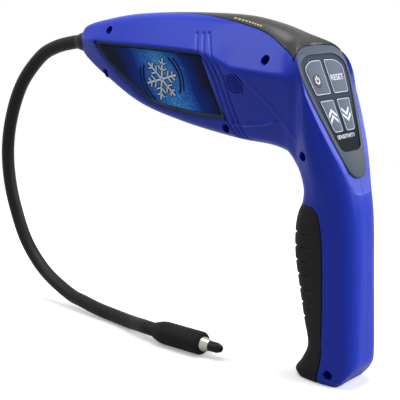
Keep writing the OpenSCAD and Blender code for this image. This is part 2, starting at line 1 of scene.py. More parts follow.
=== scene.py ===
"""Looks of a hand-held refrigerant leak detector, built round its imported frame."""
import logging
import math
from collections.abc import Callable, Iterator, Sequence
from contextlib import contextmanager
from dataclasses import dataclass, field
from enum import Enum

import bmesh
import bpy
import numpy as np
from mathutils import Euler, Matrix, Vector


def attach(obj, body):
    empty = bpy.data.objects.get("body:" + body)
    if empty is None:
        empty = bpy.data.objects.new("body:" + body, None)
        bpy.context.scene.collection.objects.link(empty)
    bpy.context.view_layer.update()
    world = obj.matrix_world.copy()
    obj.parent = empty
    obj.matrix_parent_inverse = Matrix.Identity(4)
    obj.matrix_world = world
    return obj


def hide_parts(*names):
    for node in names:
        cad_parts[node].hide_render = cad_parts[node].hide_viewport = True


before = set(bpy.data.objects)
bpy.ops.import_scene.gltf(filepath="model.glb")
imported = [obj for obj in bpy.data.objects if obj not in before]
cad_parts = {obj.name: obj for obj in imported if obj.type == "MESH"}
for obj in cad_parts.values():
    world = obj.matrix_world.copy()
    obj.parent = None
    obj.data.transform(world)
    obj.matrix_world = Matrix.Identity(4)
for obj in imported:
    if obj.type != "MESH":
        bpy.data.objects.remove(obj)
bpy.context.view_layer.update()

MM = 0.001
LOG = logging.getLogger("leak_detector")
Point2 = tuple[float, float]
Point3 = tuple[float, float, float]
Obj = bpy.types.Object
Tree = bpy.types.NodeTree
Node = bpy.types.Node
Socket = bpy.types.NodeSocket
Inputs = dict[str | int, object]


class Blend(Enum):
    """Ways that one solid is combined with another."""

    CUT = "DIFFERENCE"
    ADD = "UNION"
    KEEP = "INTERSECT"


def placed(at: Sequence[float], turn: Point3 = (0.0, 0.0, 0.0)) -> Matrix:
    """Matrix that turns by degrees about X, Y and Z, and then moves by millimetres."""
    return Matrix.Translation(at) @ Euler([math.radians(a) for a in turn]).to_matrix().to_4x4()


# Places of the sub-assemblies, each with its own axes
WINDOW_AT: Point3 = (-130.0, -17.3, 192.0)
WINDOW_TURN: Point3 = (103.0, 0.0, -4.8)
WINDOW = placed(WINDOW_AT, WINDOW_TURN)
KEYPAD = placed((-15.25, 0, 215.28), (0, 66.4, 0))
NOSE = placed((-224.53, 0, 214), (0, -93.18, 0))
HEAD = placed((-134, -25, 8.4), (0, 90, 0))
ACROSS: Point3 = (90.0, 0.0, 0.0)
MIRROR = np.array((1, -1, 1))

# Inputs of a Mix node that mixes two colours
FACTOR, FROM, TO = 0, 6, 7


# Colour and nodes


def linear(code: str) -> tuple[float, float, float, float]:
    """Turn an sRGB hex code into a linear colour with full alpha."""
    parts = [int(code[i:i + 2], 16) / 255 for i in (1, 3, 5)]
    red, green, blue = (c / 12.92 if c <= 0.04045 else ((c + 0.055) / 1.055) ** 2.4 for c in parts)
    return red, green, blue, 1.0


def add(tree: Tree, kind: str, inputs: Inputs | None = None, **settings: object) -> Node:
    """Add a shader node with its settings, its socket values and its links.

    Args:
        tree: Node tree that takes the node.
        kind: Blender's name of the node type, without the words that all of them begin with.
        inputs: For each input a value, a hex colour, an output, or a node whose first live output is meant.
        settings: Fields of the node itself.

    Returns:
        The new node.
    """
    made = tree.nodes.new("ShaderNode" + kind)
    for key, value in settings.items():
        setattr(made, key, value)
    for key, value in (inputs or {}).items():
        if isinstance(value, Node):
            value = next(out for out in value.outputs if out.enabled)
        if isinstance(value, Socket):
            tree.links.new(value, made.inputs[key])
        else:
            made.inputs[key].default_value = linear(value) if isinstance(value, str) else value
    return made


def per_mm(size: float) -> float:
    """Scale of a texture on metre coordinates whose features are this many millimetres wide."""
    return 1000.0 / size


@dataclass(frozen=True)
class Finish:
    """A named material; each kind of finish has a look of its own."""

    name: str

    def material(self) -> bpy.types.Material:
        """Make the material once and hand it out after that."""
        found = bpy.data.materials.get(self.name)
        if found is None:
            found = bpy.data.materials.new(self.name)
            found.use_nodes = True
            tree = found.node_tree
            tree.nodes.clear()
            look = self.look(tree, add(tree, "TexCoord").outputs["Object"])
            add(tree, "OutputMaterial", {"Surface": add(tree, "BsdfPrincipled", look)})
        return found

    def look(self, tree: Tree, place: Socket) -> Inputs:
        """Add the pattern nodes and return the shader's inputs."""
        raise NotImplementedError

    def dress(self, obj: Obj) -> Obj:
        """Give the finish to an object in place of what it has."""
        obj.data.materials.clear()
        obj.data.materials.append(self.material())
        return obj


@dataclass(frozen=True)
class MouldedAbs(Finish):
    """Injection-moulded ABS: satin, faintly mottled, with a fine spark-eroded grain and softened edges."""

    colour: str = "#1830AE"
    pale: str = "#2C49C8"
    roughness: float = 0.36
    grain_mm: float = 0.9
    edge_mm: float = 0.45
    specular: float = 0.16

    def look(self, tree: Tree, place: Socket) -> Inputs:
        """Mottle, grain and rounded edges of moulded plastic."""
        # The real grain is near 0.1 mm and is drawn coarser so that it shows.
        cloud = add(tree, "TexNoise", {"Vector": place, "Scale": per_mm(38), "Detail": 2.0})
        grain = add(tree, "TexNoise", {"Vector": place, "Scale": per_mm(self.grain_mm), "Detail": 2.0})
        worn = add(tree, "NewGeometry").outputs["Pointiness"]
        rub = add(tree, "MapRange", {"Value": worn, "From Min": 0.515, "From Max": 0.62, "To Max": 0.35})
        mild = add(tree, "MapRange", {"Value": cloud, "From Min": 0.3, "From Max": 0.7, "To Max": 0.16})
        both = add(tree, "Math", {0: rub, 1: mild}, operation="ADD", use_clamp=True)
        mix = add(tree, "Mix", {FACTOR: both, FROM: self.colour, TO: self.pale}, data_type="RGBA")
        gloss = add(tree, "MapRange", {"Value": grain, "From Min": 0.25, "From Max": 0.75,
                                       "To Min": self.roughness - 0.05, "To Max": self.roughness + 0.06})
        edge = add(tree, "Bevel", {"Radius": self.edge_mm * MM}, samples=4)
        bump = add(tree, "Bump", {"Height": grain, "Strength": 0.05, "Distance": 0.25 * MM, "Normal": edge})
        return {"Base Color": mix, "Roughness": gloss, "Normal": bump, "IOR": 1.53, "Specular IOR Level": self.specular}


@dataclass(frozen=True)
class MattRubber(Finish):
    """Soft thermoplastic rubber: nearly black, matt, with a powdery bloom and a fine pebble."""

    colour: str = "#0D0D0D"
    bloom: str = "#151514"
    roughness: float = 0.6
    pebble_mm: float = 0.8
    bump: float = 0.16
    specular: float = 0.16

    def look(self, tree: Tree, place: Socket) -> Inputs:
        """Bloom and pebble of matt rubber."""
        cloud = add(tree, "TexNoise", {"Vector": place, "Scale": per_mm(14), "Detail": 3.0})
        pebble = add(tree, "TexNoise", {"Vector": place, "Scale": per_mm(self.pebble_mm), "Detail": 1.0})
        share = add(tree, "MapRange", {"Value": cloud, "From Min": 0.35, "From Max": 0.75})
        mix = add(tree, "Mix", {FACTOR: share, FROM: self.colour, TO: self.bloom}, data_type="RGBA")
        gloss = add(tree, "MapRange", {"Value": cloud, "From Min": 0.3, "From Max": 0.7,
                                       "To Min": self.roughness - 0.06, "To Max": self.roughness + 0.08})
        bump = add(tree, "Bump", {"Height": pebble, "Strength": self.bump, "Distance": 0.3 * MM})
        return {"Base Color": mix, "Roughness": gloss, "Normal": bump, "IOR": 1.5, "Specular IOR Level": self.specular}


@dataclass(frozen=True)
class SmokedPolycarbonate(Finish):
    """Smoked polycarbonate: a dark olive-brown sheet with a soft gloss and faint flow waves."""

    colour: str = "#191A17"
    deep: str = "#0F100E"

    def look(self, tree: Tree, place: Socket) -> Inputs:
        """Flow waves under a gloss."""
        flow = add(tree, "TexNoise", {"Vector": place, "Scale": per_mm(26), "Detail": 2.0})
        mix = add(tree, "Mix", {FACTOR: flow, FROM: self.deep, TO: self.colour}, data_type="RGBA")
        gloss = add(tree, "MapRange", {"Value": flow, "To Min": 0.3, "To Max": 0.42})
        edge = add(tree, "Bevel", {"Radius": 0.35 * MM}, samples=4)
        bump = add(tree, "Bump", {"Height": flow, "Strength": 0.08, "Distance": 0.6 * MM, "Normal": edge})
        return {"Base Color": mix, "Roughness": gloss, "Normal": bump, "IOR": 1.58, "Specular IOR Level": 0.2}


@dataclass(frozen=True)
class SatinPolymer(Finish):
    """Screen-printed polymer sheet: even satin colour with a fine print grain, darker towards one end."""

    colour: str
    far: str
    from_mm: float
    to_mm: float
    roughness: float
    grain_mm: float
    specular: float

    def look(self, tree: Tree, place: Socket) -> Inputs:
        """Print grain and a slow change of colour down the sheet."""
        grain = add(tree, "TexNoise", {"Vector": place, "Scale": per_mm(self.grain_mm), "Detail": 2.0})
        height = add(tree, "SeparateXYZ", {0: place}).outputs["Z"]
        down = add(tree, "MapRange", {"Value": height, "From Min": self.from_mm * MM, "From Max": self.to_mm * MM})
        speck = add(tree, "MapRange", {"Value": grain, "From Min": 0.3, "From Max": 0.7,
                                       "To Min": -0.08, "To Max": 0.08})
        both = add(tree, "Math", {0: down, 1: speck}, operation="ADD", use_clamp=True)
        mix = add(tree, "Mix", {FACTOR: both, FROM: self.colour, TO: self.far}, data_type="RGBA")
        gloss = add(tree, "MapRange", {"Value": grain, "To Min": self.roughness - 0.06,
                                       "To Max": self.roughness + 0.06})
        edge = add(tree, "Bevel", {"Radius": 0.3 * MM}, samples=4)
        bump = add(tree, "Bump", {"Height": grain, "Strength": 0.05, "Distance": 0.15 * MM, "Normal": edge})
        return {"Base Color": mix, "Roughness": gloss, "Normal": bump, "IOR": 1.5, "Specular IOR Level": self.specular}


@dataclass(frozen=True)
class PrintedPanel(Finish):
    """Gloss-printed panel: deep blue that brightens to a speckled, icy middle."""

    dark: str = "#020A2C"
    mid: str = "#0640B6"
    bright: str = "#2E93EA"
    ice: str = "#BFE4FF"
    speck_mm: float = 1.15

    def look(self, tree: Tree, place: Socket) -> Inputs:
        """Blue fields by distance from a leaning middle line, with icy specks where it is brightest."""
        turn = [math.radians(a) for a in WINDOW_TURN]
        local = add(tree, "Mapping", {"Vector": place, "Location": Vector(WINDOW_AT) * MM, "Rotation": turn},
                    vector_type="TEXTURE")
        part = add(tree, "SeparateXYZ", {0: local}).outputs
        lean = add(tree, "Math", {0: part["Y"], 1: 0.42, 2: part["X"]}, operation="MULTIPLY_ADD")
        off = add(tree, "Math", {0: lean, 1: 0.003}, operation="ADD")
        span = add(tree, "Math", {0: off}, operation="ABSOLUTE")
        wave = add(tree, "TexNoise", {"Vector": local, "Scale": per_mm(22), "Detail": 2.0})
        wavy = add(tree, "Math", {0: wave, 1: 0.016, 2: span}, operation="MULTIPLY_ADD")
        deep = add(tree, "MapRange", {"Value": wavy, "From Min": 0.05, "From Max": 0.023})
        glow = add(tree, "MapRange", {"Value": wavy, "From Min": 0.034, "From Max": 0.007})
        specks = add(tree, "TexVoronoi", {"Vector": local, "Scale": per_mm(self.speck_mm)}, feature="F1")
        fine = add(tree, "TexNoise", {"Vector": local, "Scale": per_mm(self.speck_mm * 0.9), "Detail": 1.0})
        dot = add(tree, "MapRange", {"Value": specks.outputs["Distance"], "From Min": 0.52, "From Max": 0.2})
        dust = add(tree, "MapRange", {"Value": fine, "From Min": 0.48, "From Max": 0.6})
        frost = add(tree, "Math", {0: dot, 1: dust}, operation="MULTIPLY")
        shine = add(tree, "Math", {0: frost, 1: glow}, operation="MULTIPLY", use_clamp=True)
        paint: Node | str = self.dark
        for share, colour in ((deep, self.mid), (glow, self.bright), (shine, self.ice)):
            paint = add(tree, "Mix", {FACTOR: share, FROM: paint, TO: colour}, data_type="RGBA")
        return {"Base Color": paint, "Roughness": 0.4, "IOR": 1.5, "Specular IOR Level": 0.07}


@dataclass(frozen=True)
class TurnedMetal(Finish):
    """Lathe-turned or plated metal: bright, with fine rings across its axis and a little haze."""

    colour: str = "#C6C5BA"
    dull: str = "#8E8D84"
    roughness: float = 0.26
    ring_mm: float = 0.7
    axis: str = "X"

    def look(self, tree: Tree, place: Socket) -> Inputs:
        """Tool rings and haze of turned metal."""
        # Real tool marks are near 0.1 mm apart and are drawn wider so that they show.
        rings = add(tree, "TexWave", {"Vector": place, "Scale": per_mm(self.ring_mm) / 20, "Distortion": 0.6,
                                      "Detail": 2.0}, bands_direction=self.axis)
        haze = add(tree, "TexNoise", {"Vector": place, "Scale": per_mm(5), "Detail": 3.0})
        mix = add(tree, "Mix", {FACTOR: haze, FROM: self.colour, TO: self.dull}, data_type="RGBA")
        gloss = add(tree, "MapRange", {"Value": haze, "From Min": 0.3, "From Max": 0.7,
                                       "To Min": self.roughness - 0.07, "To Max": self.roughness + 0.09})
        bump = add(tree, "Bump", {"Height": rings, "Strength": 0.12, "Distance": 0.08 * MM})
        return {"Base Color": mix, "Roughness": gloss, "Normal": bump, "Metallic": 1.0}


@dataclass(frozen=True)
class SolderMask(Finish):
    """Glass-epoxy circuit board: green lacquer with paler copper runs under it."""

    colour: str = "#0E4A24"
    run: str = "#2C7A45"

    def look(self, tree: Tree, place: Socket) -> Inputs:
        """Copper runs in a square lattice under green lacquer."""
        lattice = add(tree, "TexVoronoi", {"Vector": place, "Scale": per_mm(5.0)}, feature="F1", distance="MANHATTAN")
        line = add(tree, "MapRange", {"Value": lattice.outputs["Distance"], "From Min": 0.5, "From Max": 0.56})
        mix = add(tree, "Mix", {FACTOR: line, FROM: self.colour, TO: self.run}, data_type="RGBA")
        bump = add(tree, "Bump", {"Height": line, "Strength": 0.2, "Distance": 0.1 * MM})
        return {"Base Color": mix, "Roughness": 0.35, "Normal": bump, "IOR": 1.55}


@dataclass(frozen=True)
class CellSleeve(Finish):
    """Shrink-sleeved dry cell: brassy film with a dark band near its foot."""

    body: str = "#B58B3C"
    band: str = "#23262B"
    band_mm: Point2 = (20.0, 29.0)

    def look(self, tree: Tree, place: Socket) -> Inputs:
        """A dark band round the foot of a brassy sleeve."""
        height = add(tree, "SeparateXYZ", {0: place}).outputs["Z"]
        low = add(tree, "Math", {0: height, 1: self.band_mm[0] * MM}, operation="GREATER_THAN")
        high = add(tree, "Math", {0: height, 1: self.band_mm[1] * MM}, operation="LESS_THAN")
        banded = add(tree, "Math", {0: low, 1: high}, operation="MULTIPLY")
        mix = add(tree, "Mix", {FACTOR: banded, FROM: self.body, TO: self.band}, data_type="RGBA")
        haze = add(tree, "TexNoise", {"Vector": place, "Scale": per_mm(6), "Detail": 2.0})
        gloss = add(tree, "MapRange", {"Value": haze, "To Min": 0.25, "To Max": 0.4})
        return {"Base Color": mix, "Roughness": gloss, "Metallic": 0.7}


@dataclass(frozen=True)
class PrintInk(Finish):
    """Screen-printed ink: a flat dense film, slightly uneven where the mesh lifted."""

    colour: str
    thin: str
    roughness: float = 0.5
    specular: float = 0.3

    def look(self, tree: Tree, place: Socket) -> Inputs:
        """Slightly uneven film of ink."""
        film = add(tree, "TexNoise", {"Vector": place, "Scale": per_mm(1.6), "Detail": 2.0})
        mix = add(tree, "Mix", {FACTOR: film, FROM: self.colour, TO: self.thin}, data_type="RGBA")
        return {"Base Color": mix, "Roughness": self.roughness, "IOR": 1.5, "Specular IOR Level": self.specular}


# Deep royal blue with a broad soft sheen, and the plain black of the gland and tip
BLUE_ABS = MouldedAbs("moulded_blue_abs")
BLACK_ABS = MouldedAbs("moulded_black_abs", "#0B0B0C", "#151518", 0.42, 0.8, 0.3)
# Dark blue-grey ring that catches a bright line on its bevel
FRAME_GLOSS = MouldedAbs("window_frame_gloss_abs", "#14213F", "#2A3D63", 0.26, 1.2, 0.3, 0.12)
# Three near-blacks: dull on the grip, a faint sheen along the neck, and the driest on the head
GRIP_RUBBER = MattRubber("grip_thermoplastic_rubber")
NECK_RUBBER = MattRubber("neck_vinyl_sleeve", "#080808", "#0D0D0C", 0.46, 1.2, 0.08, 0.17)
SLEEVE_RUBBER = MattRubber("probe_soft_sleeve", "#0F0F0F", "#161615", 0.66, 0.9, 0.14)
# Warm dark strip with a long soft reflection
SMOKED = SmokedPolycarbonate("smoked_polycarbonate")
# Slate-grey shield, a film that darkens downwards, and paler keys
BEZEL = SatinPolymer("bezel_satin_polymer", "#3E485A", "#37434E", 215.0, 140.0, 0.42, 0.7, 0.1)
OVERLAY = SatinPolymer("keypad_overlay_film", "#343C4A", "#0A0D17", 196.0, 160.0, 0.5, 0.7, 0.03)
KEY_FACE = SatinPolymer("key_satin_polymer", "#4C566A", "#485266", 210.0, 160.0, 0.42, 0.7, 0.1)
# Icy blue glow in a dark field
PANEL = PrintedPanel("label_gloss_print")
# Bright collar, greyer screws and warm contacts
ALUMINIUM = TurnedMetal("turned_aluminium")
ZINC = TurnedMetal("zinc_plated_steel", "#8D8E90", "#77787A", 0.34, 0.6, "Y")
NICKEL = TurnedMetal("nickel_plated_steel", "#C9C7C0", "#AEACA5", 0.24, 0.8, "Z")
# Pieces that show when the battery door is off or the housing is open
BOARD = SolderMask("glass_epoxy_board")
CELL = CellSleeve("shrink_sleeved_cell")
LED = PrintInk("red_led_lens", "#B3160C", "#8E0F08", 0.15, 0.5)
# Printed signs: off-white words, a dark red ring, pale key outlines, and the panel's icy and navy inks
INK = PrintInk("white_screen_ink", "#CDD3DC", "#BCC3CE")
RED_INK = PrintInk("red_screen_ink", "#6A1219", "#4E0B11", 0.5, 0.1)
PALE_INK = PrintInk("pale_outline_ink", "#B4BCC8", "#A4ADBA")
ICE_INK = PrintInk("icy_panel_ink", "#F4FAFF", "#BFE0FF", 0.4, 0.08)
MARK_INK = PrintInk("pale_yellow_mark_ink", "#C9C48E", "#A8A36E")
NAVY_INK = PrintInk("navy_panel_ink", "#020718", "#040E2A", 0.4, 0.06)


# Modelling bench


def only(obj: Obj) -> None:
    """Make one object the only selected one, and the active one, in object mode."""
    if bpy.context.mode != "OBJECT":
        bpy.ops.object.mode_set(mode="OBJECT")
    bpy.ops.object.select_all(action="DESELECT")
    obj.select_set(True)
    bpy.context.view_layer.objects.active = obj


@contextmanager
def editing(obj: Obj) -> Iterator[bmesh.types.BMesh]:
    """Open an object in edit mode with nothing selected, and close it afterwards."""
    only(obj)
    bpy.ops.object.mode_set(mode="EDIT")
    bpy.ops.mesh.select_all(action="DESELECT")
    yield bmesh.from_edit_mesh(obj.data)
    bpy.ops.object.mode_set(mode="OBJECT")


def pick(obj: Obj, kind: str, test: Callable[[object], bool]) -> None:
    """Select, in edit mode, only the parts of a mesh that pass a test.

    Args:
        obj: Object that is in edit mode.
        kind: VERT or EDGE.
        test: Says whether a point or an edge is wanted.
    """
    bpy.ops.mesh.select_mode(type=kind)
    bpy.ops.mesh.select_all(action="DESELECT")
    mesh = bmesh.from_edit_mesh(obj.data)
    for part in {"VERT": mesh.verts, "EDGE": mesh.edges}[kind]:
        if test(part):
            part.select_set(True)
    mesh.select_flush_mode()
    bmesh.update_edit_mesh(obj.data)


def started(name: str) -> Obj:
    """Name the primitive that was just added and hand it over."""
    obj = bpy.context.active_object
    obj.name = obj.data.name = name
    return obj


def copied(obj: Obj) -> Obj:
    """A copy of an object, with a mesh of its own."""
    only(obj)
    bpy.ops.object.duplicate(linked=False)
    return bpy.context.active_object


def set_points(obj: Obj, points: np.ndarray) -> None:
    """Lay a mesh's points at these places, given in millimetres."""
    obj.data.vertices.foreach_set("co", (np.asarray(points, float) * MM).astype(np.float32).ravel())
    obj.data.update()


def sheet(name: str, points: np.ndarray) -> Obj:
    """Lay a grid primitive on a surface given as rows of points in millimetres."""
    rows, columns = points.shape[:2]
    bpy.ops.object.select_all(action="DESELECT")
    bpy.ops.mesh.primitive_grid_add(x_subdivisions=columns - 1, y_subdivisions=rows - 1, size=1, calc_uvs=False)
    obj = started(name)
    set_points(obj, points)
    return obj


def outward(obj: Obj, weld_mm: float = 0.001) -> Obj:
    """Weld doubled points and turn every face outwards."""
    with editing(obj):
        bpy.ops.mesh.select_all(action="SELECT")
        bpy.ops.mesh.remove_doubles(threshold=weld_mm * MM)
        bpy.ops.mesh.normals_make_consistent(inside=False)
    return obj


def tube(name: str, rings: np.ndarray) -> Obj:
    """Close a grid of rings into a capped solid.

    Args:
        name: Name of the piece.
        rings: Rows of points in millimetres; each row is one ring, without its first point again.

    Returns:
        A closed piece with its faces outwards.
    """
    count = rings.shape[1] + 1
    obj = sheet(name, np.concatenate([rings, rings[:, :1]], axis=1))
    for first in (0, (rings.shape[0] - 1) * count):
        with editing(obj) as mesh:
            mesh.verts.ensure_lookup_table()
            wanted = range(first, first + count - 1)
            pick(obj, "VERT", lambda v: v.index in wanted)
            bpy.ops.mesh.edge_face_add()
    return outward(obj)


def plate(name: str, low_line: np.ndarray, low: float, high: float, place: Matrix, rim: float = 0.0,
          high_line: np.ndarray | None = None) -> Obj:
    """Extrude a flat outline into a plate and set it in place.

    Args:
        name: Name of the piece.
        low_line: Outline of the foot, in millimetres.
        low: Height of the foot.
        high: Height of the top.
        place: Where the plate's own axes go, in millimetres.
        rim: Size of the rounded edge round the top, or 0 for a sharp one.
        high_line: Outline of the top where it differs from the foot.

    Returns:
        The closed plate.
    """
    line = np.asarray(low_line, float)
    top = line if high_line is None else np.asarray(high_line, float)
    bpy.ops.object.select_all(action="DESELECT")
    bpy.ops.mesh.primitive_circle_add(vertices=len(line), fill_type="NGON", calc_uvs=False)
    obj = started(name)
    set_points(obj, np.column_stack([line, np.full(len(line), low)]))
    with editing(obj):
        bpy.ops.mesh.select_all(action="SELECT")
        bpy.ops.mesh.extrude_region_move(TRANSFORM_OT_translate={"value": (0, 0, (high - low) * MM)})
    coords = np.array([v.co for v in obj.data.vertices]) / MM
    for i in np.flatnonzero(np.abs(coords[:, 2] - high) < 1e-3):
        near = int(np.argmin(np.linalg.norm(line - coords[i, :2], axis=1)))
        obj.data.vertices[i].co = Vector((*top[near], high)) * MM
    outward(obj)
    if rim:
        with editing(obj):
            pick(obj, "EDGE", lambda e: all(abs(v.co.z / MM - high) < 1e-3 for v in e.verts))
            bpy.ops.mesh.bevel(offset=rim * MM, segments=3, profile=0.5, clamp_overlap=True)
    return settled(obj, place)


def turned(name: str, profile: Sequence[Point2], place: Matrix, steps: int = 72) -> Obj:
    """Spin a closed profile of radius and height into a solid of revolution.

    Args:
        name: Name of the piece.
        profile: Corners of the profile, in millimetres.
        place: Where the spin's own axes go, in millimetres.
        steps: Number of flats round the piece.

    Returns:
        The closed piece.
    """
    bpy.ops.object.select_all(action="DESELECT")
    bpy.ops.mesh.primitive_circle_add(vertices=len(profile), fill_type="NOTHING", calc_uvs=False)
    obj = started(name)
    set_points(obj, np.array([(r, 0.0, s) for r, s in profile]))
    with editing(obj):
        bpy.ops.mesh.select_all(action="SELECT")
        bpy.ops.mesh.spin(steps=steps, angle=math.tau, center=(0, 0, 0), axis=(0, 0, 1))
    return settled(outward(obj), place)


def block(low: Point3, high: Point3, place: Matrix = Matrix.Identity(4)) -> Obj:
    """A box between two corners, used as a cutting tool or a rib."""
    line = np.array([(low[0], low[1]), (high[0], low[1]), (high[0], high[1]), (low[0], high[1])])
    return plate("block", line, low[2], high[2], place)


def settled(obj: Obj, place: Matrix) -> Obj:
    """Move an object by a matrix in millimetres and put the move into its mesh."""
    only(obj)
    moved = place.copy()
    moved.translation = place.translation * MM
    obj.matrix_world = moved
    bpy.ops.object.transform_apply(location=True, rotation=True, scale=True)
    return obj


def joined(name: str, pieces: Sequence[Obj]) -> Obj:
    """Join several objects into the first one."""
    only(pieces[0])
    for piece in pieces[1:]:
        piece.select_set(True)
    if len(pieces) > 1:
        bpy.ops.object.join()
    pieces[0].name = pieces[0].data.name = name
    return pieces[0]


def combined(obj: Obj, tools: Sequence[Obj], how: Blend) -> Obj:
    """Cut an object with tools that are clear of each other, or add them to it.

    Args:
        obj: Piece that is changed.
        tools: Closed solids, used up by this.
        how: Cut, add or keep.

    Returns:
        The changed piece.
    """
    tool = joined("tool", tools)
    before = len(obj.data.polygons)
    for solver in ("MANIFOLD", "EXACT"):
        only(obj)
        step = obj.modifiers.new("step", "BOOLEAN")
        step.operation, step.object, step.solver = how.value, tool, solver
        bpy.ops.object.modifier_apply(modifier=step.name)
        if len(obj.data.polygons) not in (0, before):
            break
        LOG.warning("%s: the %s solver changed nothing", obj.name, solver)
    bpy.data.objects.remove(tool)
    return obj


def smoothed(obj: Obj, angle: float = 40.0) -> Obj:
    """Shade smooth, with edges sharper than the angle kept."""
    only(obj)
    bpy.ops.object.shade_smooth_by_angle(angle=math.radians(angle))
    return obj


def mirrored(obj: Obj) -> Obj:
    """Turn a left piece into a right one through the middle plane."""
    only(obj)
    obj.scale.y = -1
    bpy.ops.object.transform_apply(location=True, rotation=True, scale=True)
    return outward(obj)


def enlist(obj: Obj, finish: Finish, slot: str, *nodes: str, body: str = "housing") -> None:
    """Dress a finished piece, let it ride on its body and report it.

    Args:
        obj: Finished piece.
        finish: Material of the piece.
        slot: The record's material slot; not used.
        nodes: CAD nodes that it stands for.
        body: Body that it moves with.
    """
    finish.dress(obj)
    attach(obj, body)
    if nodes:
        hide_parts(*nodes)
    LOG.info("%s: %d faces on %s", obj.name, len(obj.data.polygons), body)


# Lines and outlines


def unit(v: np.ndarray) -> np.ndarray:
    """Vectors shortened or lengthened to 1."""
    return v / np.maximum(np.linalg.norm(v, axis=-1, keepdims=True), 1e-9)


def right_of(way: np.ndarray) -> np.ndarray:
    """Flat vectors turned a quarter clockwise."""
    return np.column_stack([way[:, 1], -way[:, 0]])


def circle(d: float, n: int) -> np.ndarray:
    """Points round a circle."""
    a = np.linspace(0, math.tau, n + 1)[:-1]
    return d / 2 * np.column_stack([np.cos(a), np.sin(a)])


def bend(a: Point2, p: Point2, b: Point2, la: float, lb: float, r: float, n: int) -> np.ndarray:
    """Points of the softened corner at p between a and b.

    Args:
        a: Corner before.
        p: Corner that is softened.
        b: Corner after.
        la: Largest share of the side towards a that the softening may take.
        lb: Largest share of the side towards b.
        r: Length of the softening along each side.
        n: Number of pieces in it.

    Returns:
        The points in order.
    """
    a, p, b = (np.asarray(q, float) for q in (a, p, b))
    da, db = np.linalg.norm(a - p), np.linalg.norm(b - p)
    t = min(r, la * da, lb * db)
    pa, pb = p + (a - p) * t / da, p + (b - p) * t / db
    s = np.linspace(0, 1, n + 1)[:, None]
    return (1 - s) ** 2 * pa + 2 * s * (1 - s) * p + s ** 2 * pb


def soft(points: Sequence[Point2], radii: Sequence[float], n: int = 8) -> np.ndarray:
    """A closed outline with every corner softened."""
    k = len(points)
    sides = [(points[i - 1], points[i], points[(i + 1) % k]) for i in range(k)]
    return np.concatenate([bend(*side, 0.45, 0.45, r, n) for side, r in zip(sides, radii)])


def both_sides(half: np.ndarray) -> np.ndarray:
    """A closed outline from its half where the second number is positive."""
    back = half[::-1]
    return np.concatenate([half, back[back[:, 1] > 0.001] * (1, -1)])


def sense(line: np.ndarray) -> float:
    """1 for an outline that runs anticlockwise and -1 for the other way."""
    ahead = np.roll(line, -1, 0)
    return math.copysign(1, np.sum(line[:, 0] * ahead[:, 1] - ahead[:, 0] * line[:, 1]))


def offset(line: np.ndarray, d: float) -> np.ndarray:
    """Move a closed outline out by d along its corners' normals, or in where d is negative."""
    across = unit(unit(np.roll(line, -1, 0) - line) + unit(line - np.roll(line, 1, 0)))
    return line + d * sense(line) * right_of(across)


def mitred(points: Sequence[Point2], d: float) -> np.ndarray:
    """Move the straight sides of an outline out by d, or in where d is negative, and meet them again."""
    p = np.asarray(points, float)
    out = sense(p) * right_of(unit(np.roll(p, -1, 0) - p))
    before = np.roll(out, 1, 0)
    share = 1 + np.sum(out * before, axis=1)
    return p + d * (out + before) / share[:, None]


def line_distance(points: np.ndarray, line: Sequence[Point2]) -> np.ndarray:
    """Distance of flat points from an open run of straight pieces."""
    line = np.asarray(line, float)
    best = np.full(points.shape[:-1], 1e9)
    for a, b in zip(line[:-1], line[1:]):
        d = b - a
        t = np.clip(((points - a) @ d) / (d @ d), 0, 1)
        best = np.minimum(best, np.linalg.norm(points - a - t[..., None] * d, axis=-1))
    return best


def inside(points: np.ndarray, line: np.ndarray) -> np.ndarray:
    """Whether flat points lie in a closed outline."""
    hit = np.zeros(points.shape[:-1], bool)
    for a, b in zip(line, np.roll(line, -1, 0)):
        cross = (a[1] > points[..., 1]) != (b[1] > points[..., 1])
        with np.errstate(divide="ignore", invalid="ignore"):
            at = (b[0] - a[0]) * (points[..., 1] - a[1]) / (b[1] - a[1]) + a[0]
        hit ^= cross & (points[..., 0] < at)
    return hit


def ramp(x: np.ndarray | float, a: float, b: float) -> np.ndarray:
    """Smooth step from 0 at a to 1 at b."""
    t = np.clip((np.asarray(x, float) - a) / (b - a), 0, 1)
    return t * t * (3 - 2 * t)


def hump(x: np.ndarray | float, a: float, b: float, c: float, d: float) -> np.ndarray:
    """Smooth step from 0 at a to 1 at b, and back to 0 from c to d."""
    return ramp(x, a, b) * (1 - ramp(x, c, d))


def ridge(x: np.ndarray, width: float, power: int = 2) -> np.ndarray:
    """Bell of height 1 about 0, flatter on top with a higher power."""
    return np.exp(-(x / width) ** power)


def eased(gap: np.ndarray, r: float) -> np.ndarray:
    """Depth of a rounded edge of radius r at distances from that edge."""
    return r - np.sqrt(r ** 2 - np.clip(r - gap, 0, r) ** 2)


def catmull(rows: np.ndarray, u: float) -> np.ndarray:
    """Smooth curve through rows of numbers, at place u along them."""
    n = len(rows)
    i = min(int(math.floor(u)), n - 2)
    t = u - i
    a = rows[i - 1] if i else 2 * rows[0] - rows[1]
    d = rows[i + 2] if i + 2 < n else 2 * rows[n - 1] - rows[n - 2]
    b, c = rows[i], rows[i + 1]
    return b + 0.5 * t * (c - a + t * (2 * a - 5 * b + 4 * c - d + t * (3 * (b - c) + d - a)))


def within(place: Matrix, points: np.ndarray) -> np.ndarray:
    """Points in a place's own axes."""
    turn = np.array(place.inverted())
    return points @ turn[:3, :3].T + turn[:3, 3]


WINDOW_CORNERS = ((-71.6, 24.8), (-20, 23.6), (39.8, 20.9), (44, 0), (51.6, -26.2), (20, -25.8), (-9, -22.8),
                  (-26, -18.2), (-56, 2.2), (-68.4, 16.5))
WINDOW_RADII = (2, 30, 2.5, 14, 2, 16, 12, 12, 16, 7)


